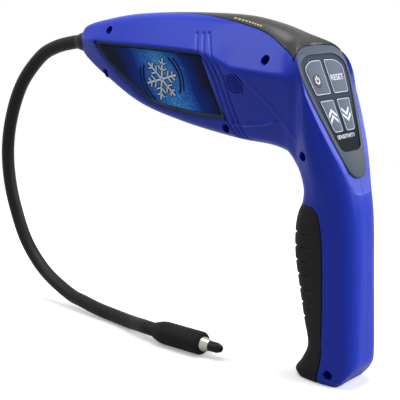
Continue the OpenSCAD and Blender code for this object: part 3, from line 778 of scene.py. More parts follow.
def window_line(d: float) -> np.ndarray:
    """Outline of the side window, moved out by d, or in where d is negative."""
    return soft(mitred(WINDOW_CORNERS, d), [max(r + d, 0.7) for r in WINDOW_RADII])


WINDOW_LINE = soft(WINDOW_CORNERS, WINDOW_RADII)
BEZEL_HALF = np.concatenate([
    [(-4.1, 0)], bend((-4.1, 0), (-2.4, 30.8), (30, 26.3), 0.95, 0.6, 18, 18),
    bend((-2.4, 30.8), (30, 26.3), (66, 15.6), 0.3, 0.45, 12, 8),
    bend((30, 26.3), (66, 15.6), (85.2, 8.4), 0.3, 0.4, 8, 6),
    bend((66, 15.6), (85.2, 8.4), (85.2, 0), 0.45, 0.95, 9, 10), [(85.2, 0)]])
UPPER_KEY = soft([(6, 1.7), (6.1, 14), (10.8, 22.3), (29.3, 18.7), (29.3, 1.7)], [1.6, 5, 5, 2.2, 1.8])
LOWER_KEY = soft([(32.7, 1.8), (32.7, 17.1), (54.3, 12), (54.3, 1.8)], [1.6, 2, 2, 1.6])
OTHER_SIDE = (1, -1)


# Housing


@dataclass
class Section:
    """One cross-section of the left half of the form, in millimetres, from one row of numbers."""

    row: np.ndarray
    span: float = 0.7
    on_seam: float = 0.001
    line: np.ndarray = field(init=False)
    runs: np.ndarray = field(init=False)
    height: float = field(init=False)
    length: float = field(init=False)
    pad: float = field(init=False)
    strip: float = field(init=False)

    def __post_init__(self) -> None:
        """Work out the half outline, the length along it, and where the pad ends and the strip begins."""
        self.height = math.dist(self.row[:2], self.row[2:4])
        belly, share, shoulder, top, low_r, mid_r, top_r, pad, strip = self.row[4:]
        a, b, c, d, e = (0, 0), (0, belly), (share * self.height, shoulder), (self.height, top), (self.height, 0)
        self.line = np.concatenate([[a], bend(a, b, c, 0.95, 0.45, low_r, 14), bend(b, c, d, 0.45, 0.45, mid_r, 14),
                                    bend(c, d, e, 0.45, 0.95, top_r, 14), [e]])
        self.runs = np.concatenate([[0], np.cumsum(np.linalg.norm(np.diff(self.line, axis=0), axis=1))])
        self.length = float(self.runs[-1])
        self.pad, self.strip = pad * self.length, strip * self.length

    def on_line(self, s: np.ndarray) -> np.ndarray:
        """Flat points at lengths along the outline."""
        return np.column_stack([np.interp(s, self.runs, self.line[:, i]) for i in (0, 1)])

    def points(self, s: np.ndarray, depth: np.ndarray | float = 0.0) -> np.ndarray:
        """Points at lengths along the outline, sunk below it.

        Args:
            s: Lengths from the front or belly seam.
            depth: How far each point lies under the outline.

        Returns:
            Points of the left half.
        """
        depth = np.broadcast_to(np.asarray(depth, float), s.shape)
        ahead, behind = np.minimum(s + self.span, self.length), np.maximum(s - self.span, 0)
        q = self.on_line(s) + depth[:, None] * right_of(unit(self.on_line(ahead) - self.on_line(behind)))
        for seam, high in ((s <= self.on_seam, depth), (s >= self.length - self.on_seam, self.height - depth)):
            q[seam] = np.column_stack([high, 0 * depth])[seam]
        foot, head = self.row[:2], self.row[2:4]
        x, z = (foot + (head - foot) / self.height * q[:, :1]).T
        return np.column_stack([x, -q[:, 1], z])


# Places in a row of the stations
SHOULDER, PAD_END = 5, 11


@dataclass
class HousingForm:
    """The moulded form that the halves, the pad, the crown window and the door all follow.

    A station holds bottom x and z, top x and z, half width of the belly, height of the shoulder as a share,
    half width at the shoulder, half width of the top, softness of three corners, and the shares of the
    outline where the pad ends and the window begins.
    """

    stations: np.ndarray = field(default_factory=lambda: np.array([
        (-222, 204.5, -223, 223, 7.4, 0.64, 9.2, 6.8, 3.5, 1.4, 3.5, 0.30, 0.80),
        (-217, 200, -218.6, 227.2, 7.4, 0.61, 12.4, 6.8, 4.5, 1.4, 4.5, 0.30, 0.85),
        (-202, 189.5, -201, 231.5, 7, 0.636, 17.36, 6.5, 6, 1.4, 6, 0.30, 0.97),
        (-165, 171, -169, 236, 8.5, 0.68, 22.01, 8, 7, 1.8, 8, 0.30, 0.975),
        (-122, 160.5, -122, 237.85, 9.5, 0.688, 25.73, 8.5, 8, 2.5, 9, 0.30, 0.95),
        (-75, 154, -74, 236.9, 10.5, 0.648, 28.675, 9, 8, 2.6, 9, 0.30, 0.886),
        (-47, 152.4, -47, 232.5, 11.5, 0.62, 29.6, 11, 9, 2.8, 10, 0.30, 0.851),
        (-32.4, 149.6, -25.5, 225.6, 12, 0.67, 30, 15.5, 9, 3.2, 13, 0.30, 0.78),
        (-27, 145.6, -14.2, 218.4, 12.5, 0.737, 30.05, 26, 10, 3.4, 9.2, 0.30, 0.72),
        (-23.2, 141, -6.5, 208, 13, 0.86, 30.05, 30, 10, 4, 4.5, 0.30, 0.67),
        (-20.2, 136.5, 0.5, 188, 13, 0.70, 29.5, 28.3, 10, 8, 4, 0.30, 0.67),
        (-18.4, 131, 10.2, 165.4, 13, 0.60, 26.97, 22.6, 10, 10, 5, 0.30, 0.70),
        (-18.1, 125, 17.3, 147, 13, 0.58, 24.18, 17.3, 11, 10, 8, 0.28, 0.70),
        (-19.4, 118, 20.9, 131, 13, 0.55, 21.47, 15.5, 11, 12, 11, 0.18, 0.70),
        (-23.2, 110, 23.8, 117, 13, 0.52, 19.95, 15.5, 12, 14, 12, 0.43, 0.70),
        (-24.8, 99, 25.3, 100, 13.5, 0.50, 19, 16, 12, 16, 12, 0.50, 0.75),
        (-24.4, 83, 26, 82, 13.5, 0.50, 19, 16, 12, 16, 12, 0.525, 0.75),
        (-21.4, 67, 26.5, 65, 13.5, 0.50, 19, 16, 12, 16, 12, 0.515, 0.75),
        (-16, 42, 27.2, 41, 13.5, 0.50, 19, 16, 12, 16, 12, 0.475, 0.75),
        (-11.9, 24, 27.48, 24, 13.5, 0.50, 19, 16, 12, 16, 12, 0.445, 0.75),
        (-16.2, 12.5, 27.2, 12, 14, 0.50, 19, 16.5, 11, 14, 11, 0.465, 0.75),
        (-21.2, 5, 25.5, 4.5, 14, 0.50, 18.62, 16.5, 10, 12, 10, 0.50, 0.75),
        (-19.4, 0, 20.5, 0, 12.5, 0.50, 16.53, 14.5, 9, 10, 9, 0.51, 0.75)], float))
    # Recesses: where they begin and end along the stations, their depth and the half width of their walls
    pad_from: float = 13.1
    strip_from: float = 3.4
    strip_to: float = 8.2
    edge: float = 0.3
    pad_depth: float = 2.6
    strip_depth: float = 1.4
    pad_edge: tuple[Point2, ...] = (
        (12, 0.28), (13, 0.12), (13.1, 0.14), (13.24, 0.261), (13.48, 0.393), (13.82, 0.457), (14.16, 0.487),
        (14.72, 0.509), (15.44, 0.527), (16.52, 0.523), (17.42, 0.497), (17.98, 0.471), (18.76, 0.43),
        (19.86, 0.451), (21.96, 0.505))
    # Mesh: depth and half width of the seam, points in the three zones of a row, and spacing of the rows
    seam: float = 0.07
    seam_half: float = 0.35
    zones: tuple[int, int, int] = (34, 70, 28)
    step: float = 1.1
    fine_step: float = 0.36
    fine: tuple[Point2, ...] = ((4.38, 5.42), (13.0, 14.1))
    # Wall: plain thickness, the added one behind the keypad, and where the added ones begin and end, along and round
    wall: float = 2.6
    keypad_wall: float = 5.5
    behind_pad: tuple[Point2, Point2] = ((12.9, 13.3), (0.47, 0.57))
    behind_keypad: tuple[tuple[float, ...], Point2] = ((7.2, 8, 13, 13.6), (0.55, 0.72))
    behind_window: tuple[tuple[float, ...], ...] = ((0.9, 1.5, 5, 5.5), (0.1, 0.25, 0.7, 0.85))
    # Flat round the keypad: rounding, lip, slopes outside the bezel's top and upper sides, and the round lower end
    keypad_round: float = 0.3
    keypad_lip: float = 0.7
    lip_w: float = 0.4
    upper_fade: Point2 = (8.0, 30.0)
    side_fade: Point2 = (-2.0, 6.0)
    side_from: Point2 = (24.0, 28.0)
    crown_slope: float = 0.45
    side_slope: float = 1.1
    crown_round: Point2 = (0.4, 1.5)
    tongue: float = 1.5
    tongue_fade: Point2 = (70.0, 100.0)
    tongue_from: Point2 = (78.0, 88.0)
    tongue_reach: float = 10.0
    tongue_slope: float = 1.2
    # Shoulder: place along the stations, span and size of the dip in its line
    dip: Point3 = (4.98, 0.36, 0.124)
    # Sloped face under the heel of the grip
    heel_at: Point3 = (16.2, 0.0, 0.0)
    heel_way: Point3 = (0.792, 0.0, -0.6105)
    heel_round: float = 2.6
    # Moulded lines, seen from the side, with their height or depth and half width
    grooves: tuple[tuple[Point2, ...], ...] = (
        ((-100.4, 225), (-96.2, 217.4), (-92.4, 211.3), (-85.6, 206.5), (-81.3, 195.5), (-79.1, 180), (-77.3, 166.8),
         (-75.1, 163.4), (-70, 155.4), (-68.5, 152)),
        ((-94.8, 225), (-90.5, 217.6), (-86.3, 210.6), (-80.9, 206.5), (-76.5, 195.8), (-74.1, 180.4), (-71.1, 166.9),
         (-69.7, 163.3), (-66.2, 155.2), (-64.7, 151.5)),
        ((-89.9, 225.1), (-85.1, 217.8), (-79.9, 209.4), (-75, 205), (-71.4, 196.2), (-69.5, 180.8), (-66.3, 166.8),
         (-65.4, 163.1), (-61.8, 155.2), (-60.3, 151.2)))
    groove: Point2 = (1.1, 0.7)
    bead_line: tuple[Point2, ...] = ((-84, 165.7), (-76.4, 165.4), (-66.6, 165.1), (-55.3, 166), (-44.9, 167.5),
                                     (-37.8, 169.4), (-32.4, 171))
    bead: Point2 = (1.4, 0.9)
    bead_fade: tuple[float, ...] = (-78, -72, -36, -30)
    fold_line: tuple[Point2, ...] = ((-54.5, 198.3), (-48.6, 192.7), (-38.6, 183.4), (-17.8, 160.3))
    fold: Point2 = (0.3, 1.2)
    lip: Point2 = (0.5, 1.3)

    @property
    def last(self) -> int:
        """Place of the last station."""
        return len(self.stations) - 1

    def section(self, u: float) -> Section:
        """Cross-section at place u along the stations, with the shoulder's dip and the pad's outline."""
        row = catmull(self.stations, u)
        at, span, size = self.dip
        row[SHOULDER] -= size * (u - at) * math.exp(-0.5 * ((u - at) / span) ** 2)
        if u > self.pad_edge[0][0]:
            row[PAD_END] = np.interp(u + np.linspace(-0.06, 0.06, 5), *zip(*self.pad_edge)).mean()
        return Section(row)

    def rows(self, first: float, last: float, step: float, fine_step: float | None = None) -> np.ndarray:
        """Places along the form, spaced by a length in millimetres.

        Args:
            first: First place.
            last: Last place.
            step: Spacing of the rows.
            fine_step: Spacing at the grooves and the top of the pad, or none for the same.

        Returns:
            Places in order, with a close pair wherever a recess begins or ends.
        """
        dense = np.linspace(first, last, 1200)
        k = np.array([catmull(self.stations, u) for u in dense])
        spots = (k[:, :2] + k[:, 2:4]) / 2
        close = np.any([(dense > a) & (dense < b) for a, b in self.fine], axis=0)
        size = np.where(close, fine_step or step, step)
        travel = np.linalg.norm(np.diff(spots, axis=0), axis=1) / size[1:]
        travel = np.concatenate([[0], np.cumsum(travel)])
        us = np.interp(np.linspace(0, travel[-1], int(travel[-1]) + 2), travel, dense)
        ends = (self.strip_from, self.strip_to, self.pad_from)
        pairs = [e + d for e in ends for d in (-0.02, 0.02)]
        kept = [u for u in us if min(abs(u - e) for e in ends) > 0.03]
        return np.array(sorted(kept + [u for u in pairs if first < u < last]))

    def columns(self, sec: Section) -> np.ndarray:
        """Lengths along a section at which the skin has points, closest at the seam and the recess edges."""
        n1, n2, n3 = self.zones
        return np.concatenate([[0], np.linspace(self.seam_half, sec.pad - self.edge, n1),
                               np.linspace(sec.pad + self.edge, sec.strip - self.edge, n2),
                               np.linspace(sec.strip + self.edge, sec.length - self.seam_half, n3), [sec.length]])

    def sunk(self, u: float) -> np.ndarray:
        """Depth of each column of the skin at place u: pad bed, window bed and the seam's small vee."""
        n1, n2, n3 = self.zones
        depth = np.zeros(n1 + n2 + n3 + 2)
        depth[[0, -1]] = self.seam
        if u > self.pad_from:
            depth[:n1 + 1] = self.pad_depth
        if self.strip_from < u < self.strip_to:
            depth[n1 + n2 + 1:] = self.strip_depth
        return depth

    def relief(self, points: np.ndarray, window: bool) -> np.ndarray:
        """Height of the moulded lines above the plain form.

        Args:
            points: Points of the left skin.
            window: Whether the side window's softened lip is wanted.

        Returns:
            Height at each point, negative where the skin is sunk.
        """
        flat = points[..., (0, 2)]
        height = np.zeros(flat.shape[:-1])
        for line in self.grooves:
            height -= self.groove[0] * ridge(line_distance(flat, line), self.groove[1])
        fade = hump(flat[..., 0], *self.bead_fade)
        height += self.bead[0] * fade * ridge(line_distance(flat, self.bead_line), self.bead[1])
        height += self.fold[0] * ridge(line_distance(flat, self.fold_line), self.fold[1])
        height *= points[..., 1] < -3
        if window:
            local = within(WINDOW, points)
            gap = line_distance(local[..., :2], np.concatenate([WINDOW_LINE, WINDOW_LINE[:1]]))
            gap = np.where(inside(local[..., :2], WINDOW_LINE), 0, gap)
            near = (np.abs(local[..., 2]) < 14) & (points[..., 1] < -4)
            height -= self.lip[0] * ridge(gap, self.lip[1]) * near
        return height

    def faced(self, points: np.ndarray, sink: np.ndarray | float = 0.0) -> np.ndarray:
        """Press the form flat round the bezel, and slope it towards the bezel's upper edge.

        Args:
            points: Points of the form.
            sink: How far each point lies under the form.

        Returns:
            Points at or under the flat.
        """
        local = within(KEYPAD, points)
        down, aside = local[..., 0], np.abs(local[..., 1])
        near = line_distance(np.stack([down, aside], axis=-1), BEZEL_HALF)
        near = near * ~inside(local[..., :2], both_sides(BEZEL_HALF))
        upper = 1 - ramp(down, *self.upper_fade)
        side = ramp(down, *self.side_fade) * ramp(aside, *self.side_from)
        slope = self.crown_slope + (self.side_slope - self.crown_slope) * side
        rise = (self.keypad_lip * ramp(near, 0, self.lip_w) + slope * near) * upper
        rise += self.tongue_slope * np.clip(near - self.tongue_reach, 0, None) * ramp(down, *self.tongue_from)
        over = local[..., 2] - rise + sink + self.tongue * ramp(down, *self.tongue_fade)
        share, most = self.crown_round
        blend = self.keypad_round + np.clip(share * near, 0, most) * upper * (1 - side)
        drop = 0.5 * (over - np.sqrt(over ** 2 + blend ** 2)) - over
        return points + drop[..., None] * np.array(KEYPAD)[:3, 2]

    def heeled(self, points: np.ndarray, inset: float) -> np.ndarray:
        """Hold points back by a wall from the sloped face under the heel of the grip, with a rounded edge."""
        way, r = np.array(self.heel_way), self.heel_round
        over = (points - np.array(self.heel_at)) @ way + inset
        drop = np.where(over > r, over, np.maximum(over + r, 0) ** 2 / (4 * r))
        return points - drop[..., None] * way

    def skin(self, us: np.ndarray, window: bool) -> np.ndarray:
        """Rows of points of the left half's outer skin with all that is moulded in it."""
        cuts = [self.section(u) for u in us]
        plain = np.array([c.points(self.columns(c)) for c in cuts])
        sink = np.array([self.sunk(u) for u in us])
        bed = np.array([c.points(self.columns(c), low) for c, low in zip(cuts, sink)])
        out = unit(np.cross(np.gradient(plain, axis=1), np.gradient(plain, axis=0)))
        out *= np.where(out[:, plain.shape[1] // 2, 1].mean() > 0, -1, 1)
        return self.heeled(self.faced(bed + out * self.relief(plain, window)[..., None], sink), 0.0)

    def lining(self, us: np.ndarray, backing: float, columns: int = 15) -> np.ndarray:
        """Rows of points of the left half's inner wall.

        Args:
            us: Places of the outer rows; each inner row lies a little inside its outer one.
            backing: Extra wall behind the side window.
            columns: Number of points in a row.

        Returns:
            Rows of points.
        """
        t = np.linspace(0, 1, columns)
        pad, keypad, window = self.behind_pad, self.behind_keypad, self.behind_window
        rows = []
        for u in 0.75 + us * (self.last - 1.25) / self.last:
            sec = self.section(u)
            thick = (self.wall + self.pad_depth * ramp(u, *pad[0]) * (1 - 0.7 * ramp(t, *pad[1]))
                     + self.keypad_wall * hump(u, *keypad[0]) * ramp(t, *keypad[1])
                     + backing * hump(u, *window[0]) * hump(t, *window[1]))
            rows.append(sec.points(t * sec.length, thick))
        return self.heeled(np.array(rows), self.wall)


FORM = HousingForm()


@dataclass
class Housing:
    """The two moulded halves, with screw wells, the keypad pocket and the openings in each side."""

    well_d: float = 6.4
    boss_d: float = 8.0
    pilot_d: float = 3.0
    seat: float = 3.5
    split: float = 0.01
    wells: tuple[Point3, ...] = ((-188.4, 223.8, 9.4), (-197.4, 192.4, 6.6), (-79.8, 161, 6.5), (-38.6, 209.5, 20.7),
                                 (-10.1, 150.5, 20.4), (10, 8.2, 16.5))
    shelves: Point2 = (11.4, 67.6)
    shelf: Point3 = (4.5, 16.0, 2.0)
    shelf_reach: float = 15.7
    cells: tuple[Point3, Point3] = ((5.45, 1, 13.8), (19.95, 31, 67.4))
    window_depth: float = 2.6
    window_backing: float = 3.6
    nose_bore: float = 12.4
    key_space: tuple[Point2, ...] = ((2, 0), (2, 21), (8, 25.2), (30, 21.4), (66, 9.5), (68, 0))
    slots: tuple[Point3, ...] = ((94.6, -180, -173.4), (96.7, -181.8, -171.4), (98.8, -183.4, -169.4),
                                 (100.9, -184.8, -168.2), (103, -183.2, -168.8), (105.1, -181.2, -169.6),
                                 (107.2, -179.2, -170.6))
    slot_w: float = 1.0
    slot_lean: float = 42.2

    def bars(self, d: float, ends: Callable[[float], Sequence[float]]) -> list[Obj]:
        """A round bar from side to side at each well; ends gives its two ends from the boss's length."""
        made = []
        for x, z, size in self.wells:
            low, high = sorted(ends(size))
            made.append(plate("bar", circle(d, 32), -high, -low, placed((x, 0, z), ACROSS)))
        return made

    def closed_half(self, name: str, window: bool) -> Obj:
        """The left skin and lining joined round their rim into one hollow solid.

        Args:
            name: Name of the piece.
            window: Whether it is the half with the side window.

        Returns:
            A closed piece.
        """
        us = FORM.rows(0, FORM.last, FORM.step, FORM.fine_step)
        outer = FORM.skin(us, window)
        inner = FORM.lining(us, self.window_backing if window else 0.0)
        n, w, m = outer.shape[0], outer.shape[1], inner.shape[1]
        obj = joined(name, [sheet(name, outer), sheet("lining", inner)])
        start, last = n * w, (n - 1) * w
        far = start + (n - 1) * m
        with editing(obj) as mesh:
            mesh.verts.ensure_lookup_table()
            v = mesh.verts
            for i in range(n - 1):
                for a, b in ((i * w, start + i * m), (i * w + w - 1, start + i * m + m - 1)):
                    mesh.faces.new((v[a], v[a + w], v[b + m], v[b]))
            for first, count in ((0, w), (last, w), (start, m), (far, m)):
                mesh.faces.new([v[first + j] for j in range(count)])
            mesh.faces.new((v[0], v[start], v[start + m - 1], v[w - 1]))
            mesh.faces.new((v[last], v[last + w - 1], v[far + m - 1], v[far]))
            bmesh.update_edit_mesh(obj.data)
        return outward(obj, 0.0001)

    def fitted(self, obj: Obj, side: int) -> Obj:
        """Add the screw bosses and the battery shelves to a half; side is -1 for left and 1 for right."""
        combined(obj, self.bars(self.boss_d, lambda size: (side * self.split, side * size)), Blend.ADD)
        first, last, thick = self.shelf
        low, high = sorted((side * self.split, side * self.shelf_reach))
        for z in self.shelves:
            combined(obj, [block((first, low, z), (last, high, z + thick))], Blend.ADD)
        return obj

    def keypad_tools(self) -> tuple[Obj, Obj]:
        """Tools for the bezel's pocket and for the key space under it."""
        pocket = plate("pocket", offset(both_sides(BEZEL_HALF), 0.12), -0.7, 2.0, KEYPAD)
        return pocket, plate("key_space", both_sides(np.array(self.key_space, float)), -16, -0.5, KEYPAD)

    def nose_tool(self) -> Obj:
        """Bore for the gland."""
        return plate("bore", circle(self.nose_bore, 48), -12, 18, NOSE)

    def build_left(self) -> Obj:
        """The half with the side window, the wells and the speaker slots."""
        obj = self.fitted(self.closed_half("left_shell", True), -1)
        pocket, space = self.keypad_tools()
        window = plate("window", window_line(0.15), -self.window_depth, 14, WINDOW)
        wells = self.bars(self.well_d, lambda size: (-60, -self.seat))
        turn = placed((0, 0, 0), (0, self.slot_lean, 0))
        half = self.slot_w / 2
        slots = [block((first, -60, level - half), (last, -10, level + half), turn)
                 for level, first, last in self.slots]
        combined(obj, [pocket, window, self.nose_tool(), *wells, *slots], Blend.CUT)
        combined(obj, [space], Blend.CUT)
        combined(obj, self.bars(self.pilot_d, lambda size: (-self.seat - 1, 1)), Blend.CUT)
        return smoothed(obj)

    def build_right(self) -> Obj:
        """The half with the battery opening."""
        obj = self.fitted(mirrored(self.closed_half("right_shell", False)), 1)
        pocket, space = self.keypad_tools()
        combined(obj, [pocket, self.nose_tool(), block(*self.cells)], Blend.CUT)
        combined(obj, [space, BatteryDoor().recess()], Blend.CUT)
        return smoothed(obj)

    def dress(self) -> None:
        """Build both halves and let them stand for the CAD halves."""
        enlist(self.build_left(), BLUE_ABS, "housing_blue", "left_housing")
        enlist(self.build_right(), BLUE_ABS, "housing_blue", "right_housing")


@dataclass
class HousingScrews:
    """Six pan-head screws at the bottom of the wells."""

    wells: Sequence[Point3]
    seat: float
    head_d: float = 5.6
    head_h: float = 2.2
    shank_d: float = 2.8
    shank: float = 8.5
    recess: Point3 = (1.5, 0.4, 0.9)

    def build(self) -> Obj:
        """One screw with a cross recess, its head towards the left side."""
        x, z, _ = self.wells[0]
        r, h, core = self.head_d / 2, self.head_h, self.shank_d / 2
        turn = placed((x, -self.seat, z), ACROSS)
        profile = [(0, -self.shank), (core - 0.5, -self.shank), (core, -self.shank + 1), (core, 0), (r, 0),
                   (r, h * 0.55), (r * 0.86, h * 0.85), (r * 0.55, h), (0, h)]
        screw = turned("screw", profile, turn, 40)
        long, short, low = self.recess
        for a, b in ((long, short), (short, long)):
            combined(screw, [block((-a, -b, low), (a, b, 4), turn)], Blend.CUT)
        return screw

    def dress(self) -> None:
        """Model one screw, copy it into every well and join the six."""
        first = self.build()
        x0, z0, _ = self.wells[0]
        others = [settled(copied(first), placed((x - x0, 0, z - z0))) for x, z, _ in self.wells[1:]]
        enlist(smoothed(joined("screws", [first, *others])), ZINC, "screw_steel", "housing_screws")


@dataclass
class GripPad:
    """Rubber pad let into the front of the grip, with notches across its front."""

    notches: int = 7
    pitch: float = 9.3
    lowest: float = 42.3
    notch_depth: float = 1.6
    notch_width: float = 0.95
    notch_fade: Point2 = (0.55, 0.8)
    rounding: float = 1.1
    columns: int = 40
    step: float = 0.55
    clear: float = 0.02

    def build(self) -> Obj:
        """A closed pad: crowned face over a bed that follows the grip."""
        share = 1 - (1 - np.linspace(0, 1, self.columns)) ** 1.6
        rings, travel, before = [], 0.15, None
        for u in FORM.rows(FORM.pad_from + 0.03, FORM.last, self.step):
            sec = FORM.section(u)
            reach = sec.pad - FORM.edge
            s = share * reach
            front = sec.points(s)
            travel += 0.0 if before is None else float(np.linalg.norm(front[0] - before))
            before = front[0]
            depth = eased(np.minimum(reach - s, travel), self.rounding)
            for i in range(self.notches):
                line = ridge(front[:, 2] - self.lowest - i * self.pitch, self.notch_width, 4)
                depth = depth + self.notch_depth * line * (1 - ramp(s / reach, *self.notch_fade))
            top, bed = sec.points(s, depth), sec.points(s, FORM.pad_depth - self.clear)
            rings.append(np.concatenate([bed, top[::-1], top[1:] * MIRROR, bed[:0:-1] * MIRROR]))
        return smoothed(tube("grip_pad_rubber", np.array(rings)), 60)

    def dress(self) -> None:
        """Build the pad and let it stand for the CAD pad."""
        enlist(self.build(), GRIP_RUBBER, "grip_rubber", "grip_pad")


@dataclass
class CrownWindow:
    """Smoked strip along the crown that ends at the top of the keypad."""

    columns: int = 24
    step: float = 1.0
    rounding: float = 0.5
    clear: float = 0.02
    marks: int = 9
    marks_from_to: Point2 = (4.95, 5.75)
    mark_long: float = 0.06
    mark_wide: Point2 = (0.022, 0.033)
    ink: Point2 = (-0.04, 0.05)

    def build(self) -> Obj:
        """A closed strip, cut off at the keypad."""
        rings = []
        low = FORM.strip_depth - self.clear
        for u in FORM.rows(FORM.strip_from + 0.03, FORM.strip_to - 0.03, self.step):
            sec = FORM.section(u)
            first = sec.strip + FORM.edge
            s = first + (sec.length - first) * np.linspace(0, 1, self.columns) ** 1.5
            top = FORM.faced(sec.points(s, eased(s - first, self.rounding)))
            bed = FORM.faced(sec.points(s, low), low)
            rings.append(np.concatenate([top, top[-2::-1] * MIRROR, bed[:-1] * MIRROR, bed[::-1]]))
        obj = tube("crown_window", np.array(rings))
        combined(obj, [plate("pocket", offset(both_sides(BEZEL_HALF), 0.05), -8, 14, KEYPAD)], Blend.CUT)
        return smoothed(obj)

    def build_marks(self) -> Obj:
        """Short printed bars along both edges of the strip, over the lamps."""
        made = []
        for first in np.linspace(*self.marks_from_to, self.marks):
            rings = []
            for u in np.linspace(first, first + self.mark_long, 4):
                sec = FORM.section(u)
                s = sec.strip + np.linspace(*self.mark_wide, 4) * sec.length
                rings.append(np.concatenate([sec.points(s, self.ink[0]), sec.points(s, self.ink[1])[::-1]]))
            made.append(tube("mark", np.array(rings)))
        return joined("level_marks", made + [mirrored(copied(mark)) for mark in made])

    def dress(self) -> None:
        """Build the strip and let it stand for the CAD strip."""
        enlist(self.build(), SMOKED, "smoked_window", "top_window")
        enlist(self.build_marks(), MARK_INK, "smoked_window")


# Keypad


@dataclass
class Keypad:
    """Shield-shaped bezel with a film over it, four keys, and their printed signs."""

    bezel_t: float = 0.7
    lip: float = 0.7
    rise: float = 0.5
    gap: float = 0.4
    flange: Point3 = (0.9, -1.5, -0.8)
    film: float = 0.12
    film_half: tuple[Point2, ...] = ((2.4, 0), (2.4, 14), (5, 21.5), (9.5, 25.6), (19, 25.2), (30, 22.6), (42, 19.2),
                                     (60, 13.8), (65.4, 11.8), (67.4, 8), (67.4, 0))
    outline_in: float = 0.3
    outline_w: float = 0.5
    power_at: Point2 = (19.4, -12.0)
    power_r: tuple[float, ...] = (4.6, 4.2, 2.6, 1.6)
    power_gap: float = 38.0
    arrow_half: float = 4.5
    arrow_t: float = 2.1
    arrow_reach: float = 3.8
    arrow_pitch: float = 3.8

    def holes(self, low: float, high: float) -> list[Obj]:
        """Tools for the four key openings."""
        lines = [offset(key, self.gap) for key in (UPPER_KEY, LOWER_KEY)]
        return [plate("hole", line * (1, way), low, high, KEYPAD) for line in lines for way in (1, -1)]

    def build_bezel(self) -> Obj:
        """The shield with a rounded edge, a shallow bed for the film and four openings."""
        obj = plate("keypad_bezel_shield", both_sides(BEZEL_HALF), -self.bezel_t, self.lip, KEYPAD, 0.8)
        combined(obj, [plate("bed", self.film_line(), 0, 4, KEYPAD)], Blend.CUT)
        return smoothed(combined(obj, self.holes(-5, 3), Blend.CUT))

    def film_line(self) -> np.ndarray:
        """Outline of the film round the keys."""
        half = np.array(self.film_half)
        corners = [bend(*half[i - 1:i + 2], 0.45, 0.45, 4, 5) for i in range(1, len(half) - 1)]
        return both_sides(np.concatenate([half[:1], *corners, half[-1:]]))

    def build_film(self) -> Obj:
        """The darker film round the keys."""
        obj = plate("keypad_film", offset(self.film_line(), -0.08), -0.05, self.film, KEYPAD)
        return smoothed(combined(obj, self.holes(-1, 1), Blend.CUT))

    def build_key(self, name: str, line: np.ndarray) -> Obj:
        """One key with a crowned edge and the flange that keeps it in."""
        wider, low, high = self.flange
        cap = plate(name, line, -self.bezel_t - 0.4, self.rise, KEYPAD, 0.35)
        return smoothed(combined(cap, [plate("flange", offset(line, wider), low, high, KEYPAD)], Blend.ADD))

    def build_outline(self, name: str, line: np.ndarray) -> Obj:
        """Pale printed line just inside a key's edge."""
        obj = plate(name, offset(line, -self.outline_in), self.rise - 0.03, self.rise + 0.04, KEYPAD)
        inner = plate("inner", offset(line, -self.outline_in - self.outline_w), 0, 2, KEYPAD)
        return combined(obj, [inner], Blend.CUT)

    def sign(self, name: str, line: Sequence[Point2], high: float) -> Obj:
        """A printed shape on the keypad at this height."""
        return plate(name, np.array(line, float), high - 0.03, high + 0.05, KEYPAD)

    def words(self, name: str, text: str, at: Point2, size: Point2, high: float) -> Obj:
        """Printed word, made a mesh before it is placed.

        Args:
            name: Name of the piece.
            text: The word.
            at: Middle of the word, down and across the keypad.
            size: Width of the word and height of its capitals, in millimetres.
            high: Height of the face that it is printed on.

        Returns:
            The word as a thin solid.
        """
        bpy.ops.object.select_all(action="DESELECT")
        bpy.ops.object.text_add()
        obj = bpy.context.active_object
        obj.data.body = text
        obj.data.extrude = 0.02
        obj.data.offset = 0.012
        obj.data.resolution_u = 3
        only(obj)
        bpy.ops.object.convert(target="MESH")
        obj = started(name)
        co = np.array([v.co for v in obj.data.vertices])
        lo, hi = co.min(0), co.max(0)
        co = (co - (lo + hi) / 2) / (hi - lo) * (*size, 0.08)
        set_points(obj, np.column_stack([at[0] - co[:, 1], at[1] + co[:, 0], high + 0.01 + co[:, 2]]))
        return outward(settled(obj, KEYPAD), 0.0002)

    def arc(self, at: Point2, r: float, first: float = 0.0, last: float = 360.0, n: int = 40) -> list[Point2]:
        """Points round an arc on the keypad, where 0 degrees points up."""
        return [(at[0] - r * math.cos(a), at[1] + r * math.sin(a)) for a in np.radians(np.linspace(first, last, n))]

    def power_sign(self) -> list[tuple[Obj, Finish]]:
        """Dark button with a red ring and the usual broken-ring power sign."""
        q, y = self.power_at
        red_r, disc_r, outer, inner = self.power_r
        a, b = self.power_gap, 360 - self.power_gap
        disc = self.sign("power_disc", self.arc((q, y), disc_r)[:-1], self.rise + 0.04)
        red = self.sign("power_red_ring", self.arc((q + 0.5, y - 0.5), red_r)[:-1], self.rise)
        ring = self.arc((q, y), outer, a, b, 31) + self.arc((q, y), inner, b, a, 31)
        bar = [(q - 3.2, y - 0.5), (q - 3.2, y + 0.5), (q - 0.2, y + 0.5), (q - 0.2, y - 0.5)]
        white = joined("power_mark", [self.sign("mark", line, self.rise + 0.1) for line in (ring, bar)])
        return [(red, RED_INK), (disc, BLACK_ABS), (white, INK)]

    def chevrons(self, name: str, q: float, y: float, way: int) -> Obj:
        """Two stacked arrows, which point up where way is 1 and down where it is -1."""
        end, back = way * self.arrow_reach / 2, way * self.arrow_t
        made = []
        for i in (0, 1):
            wide = self.arrow_half - 0.3 * i
            line = [(-end, 0), (end, wide), (end + back, wide), (back - end, 0), (end + back, -wide), (end, -wide)]
            made.append(self.sign("arrow", np.add(line, (q - way * self.arrow_pitch * (0.5 - i), y)), self.rise))
        return joined(name, made)

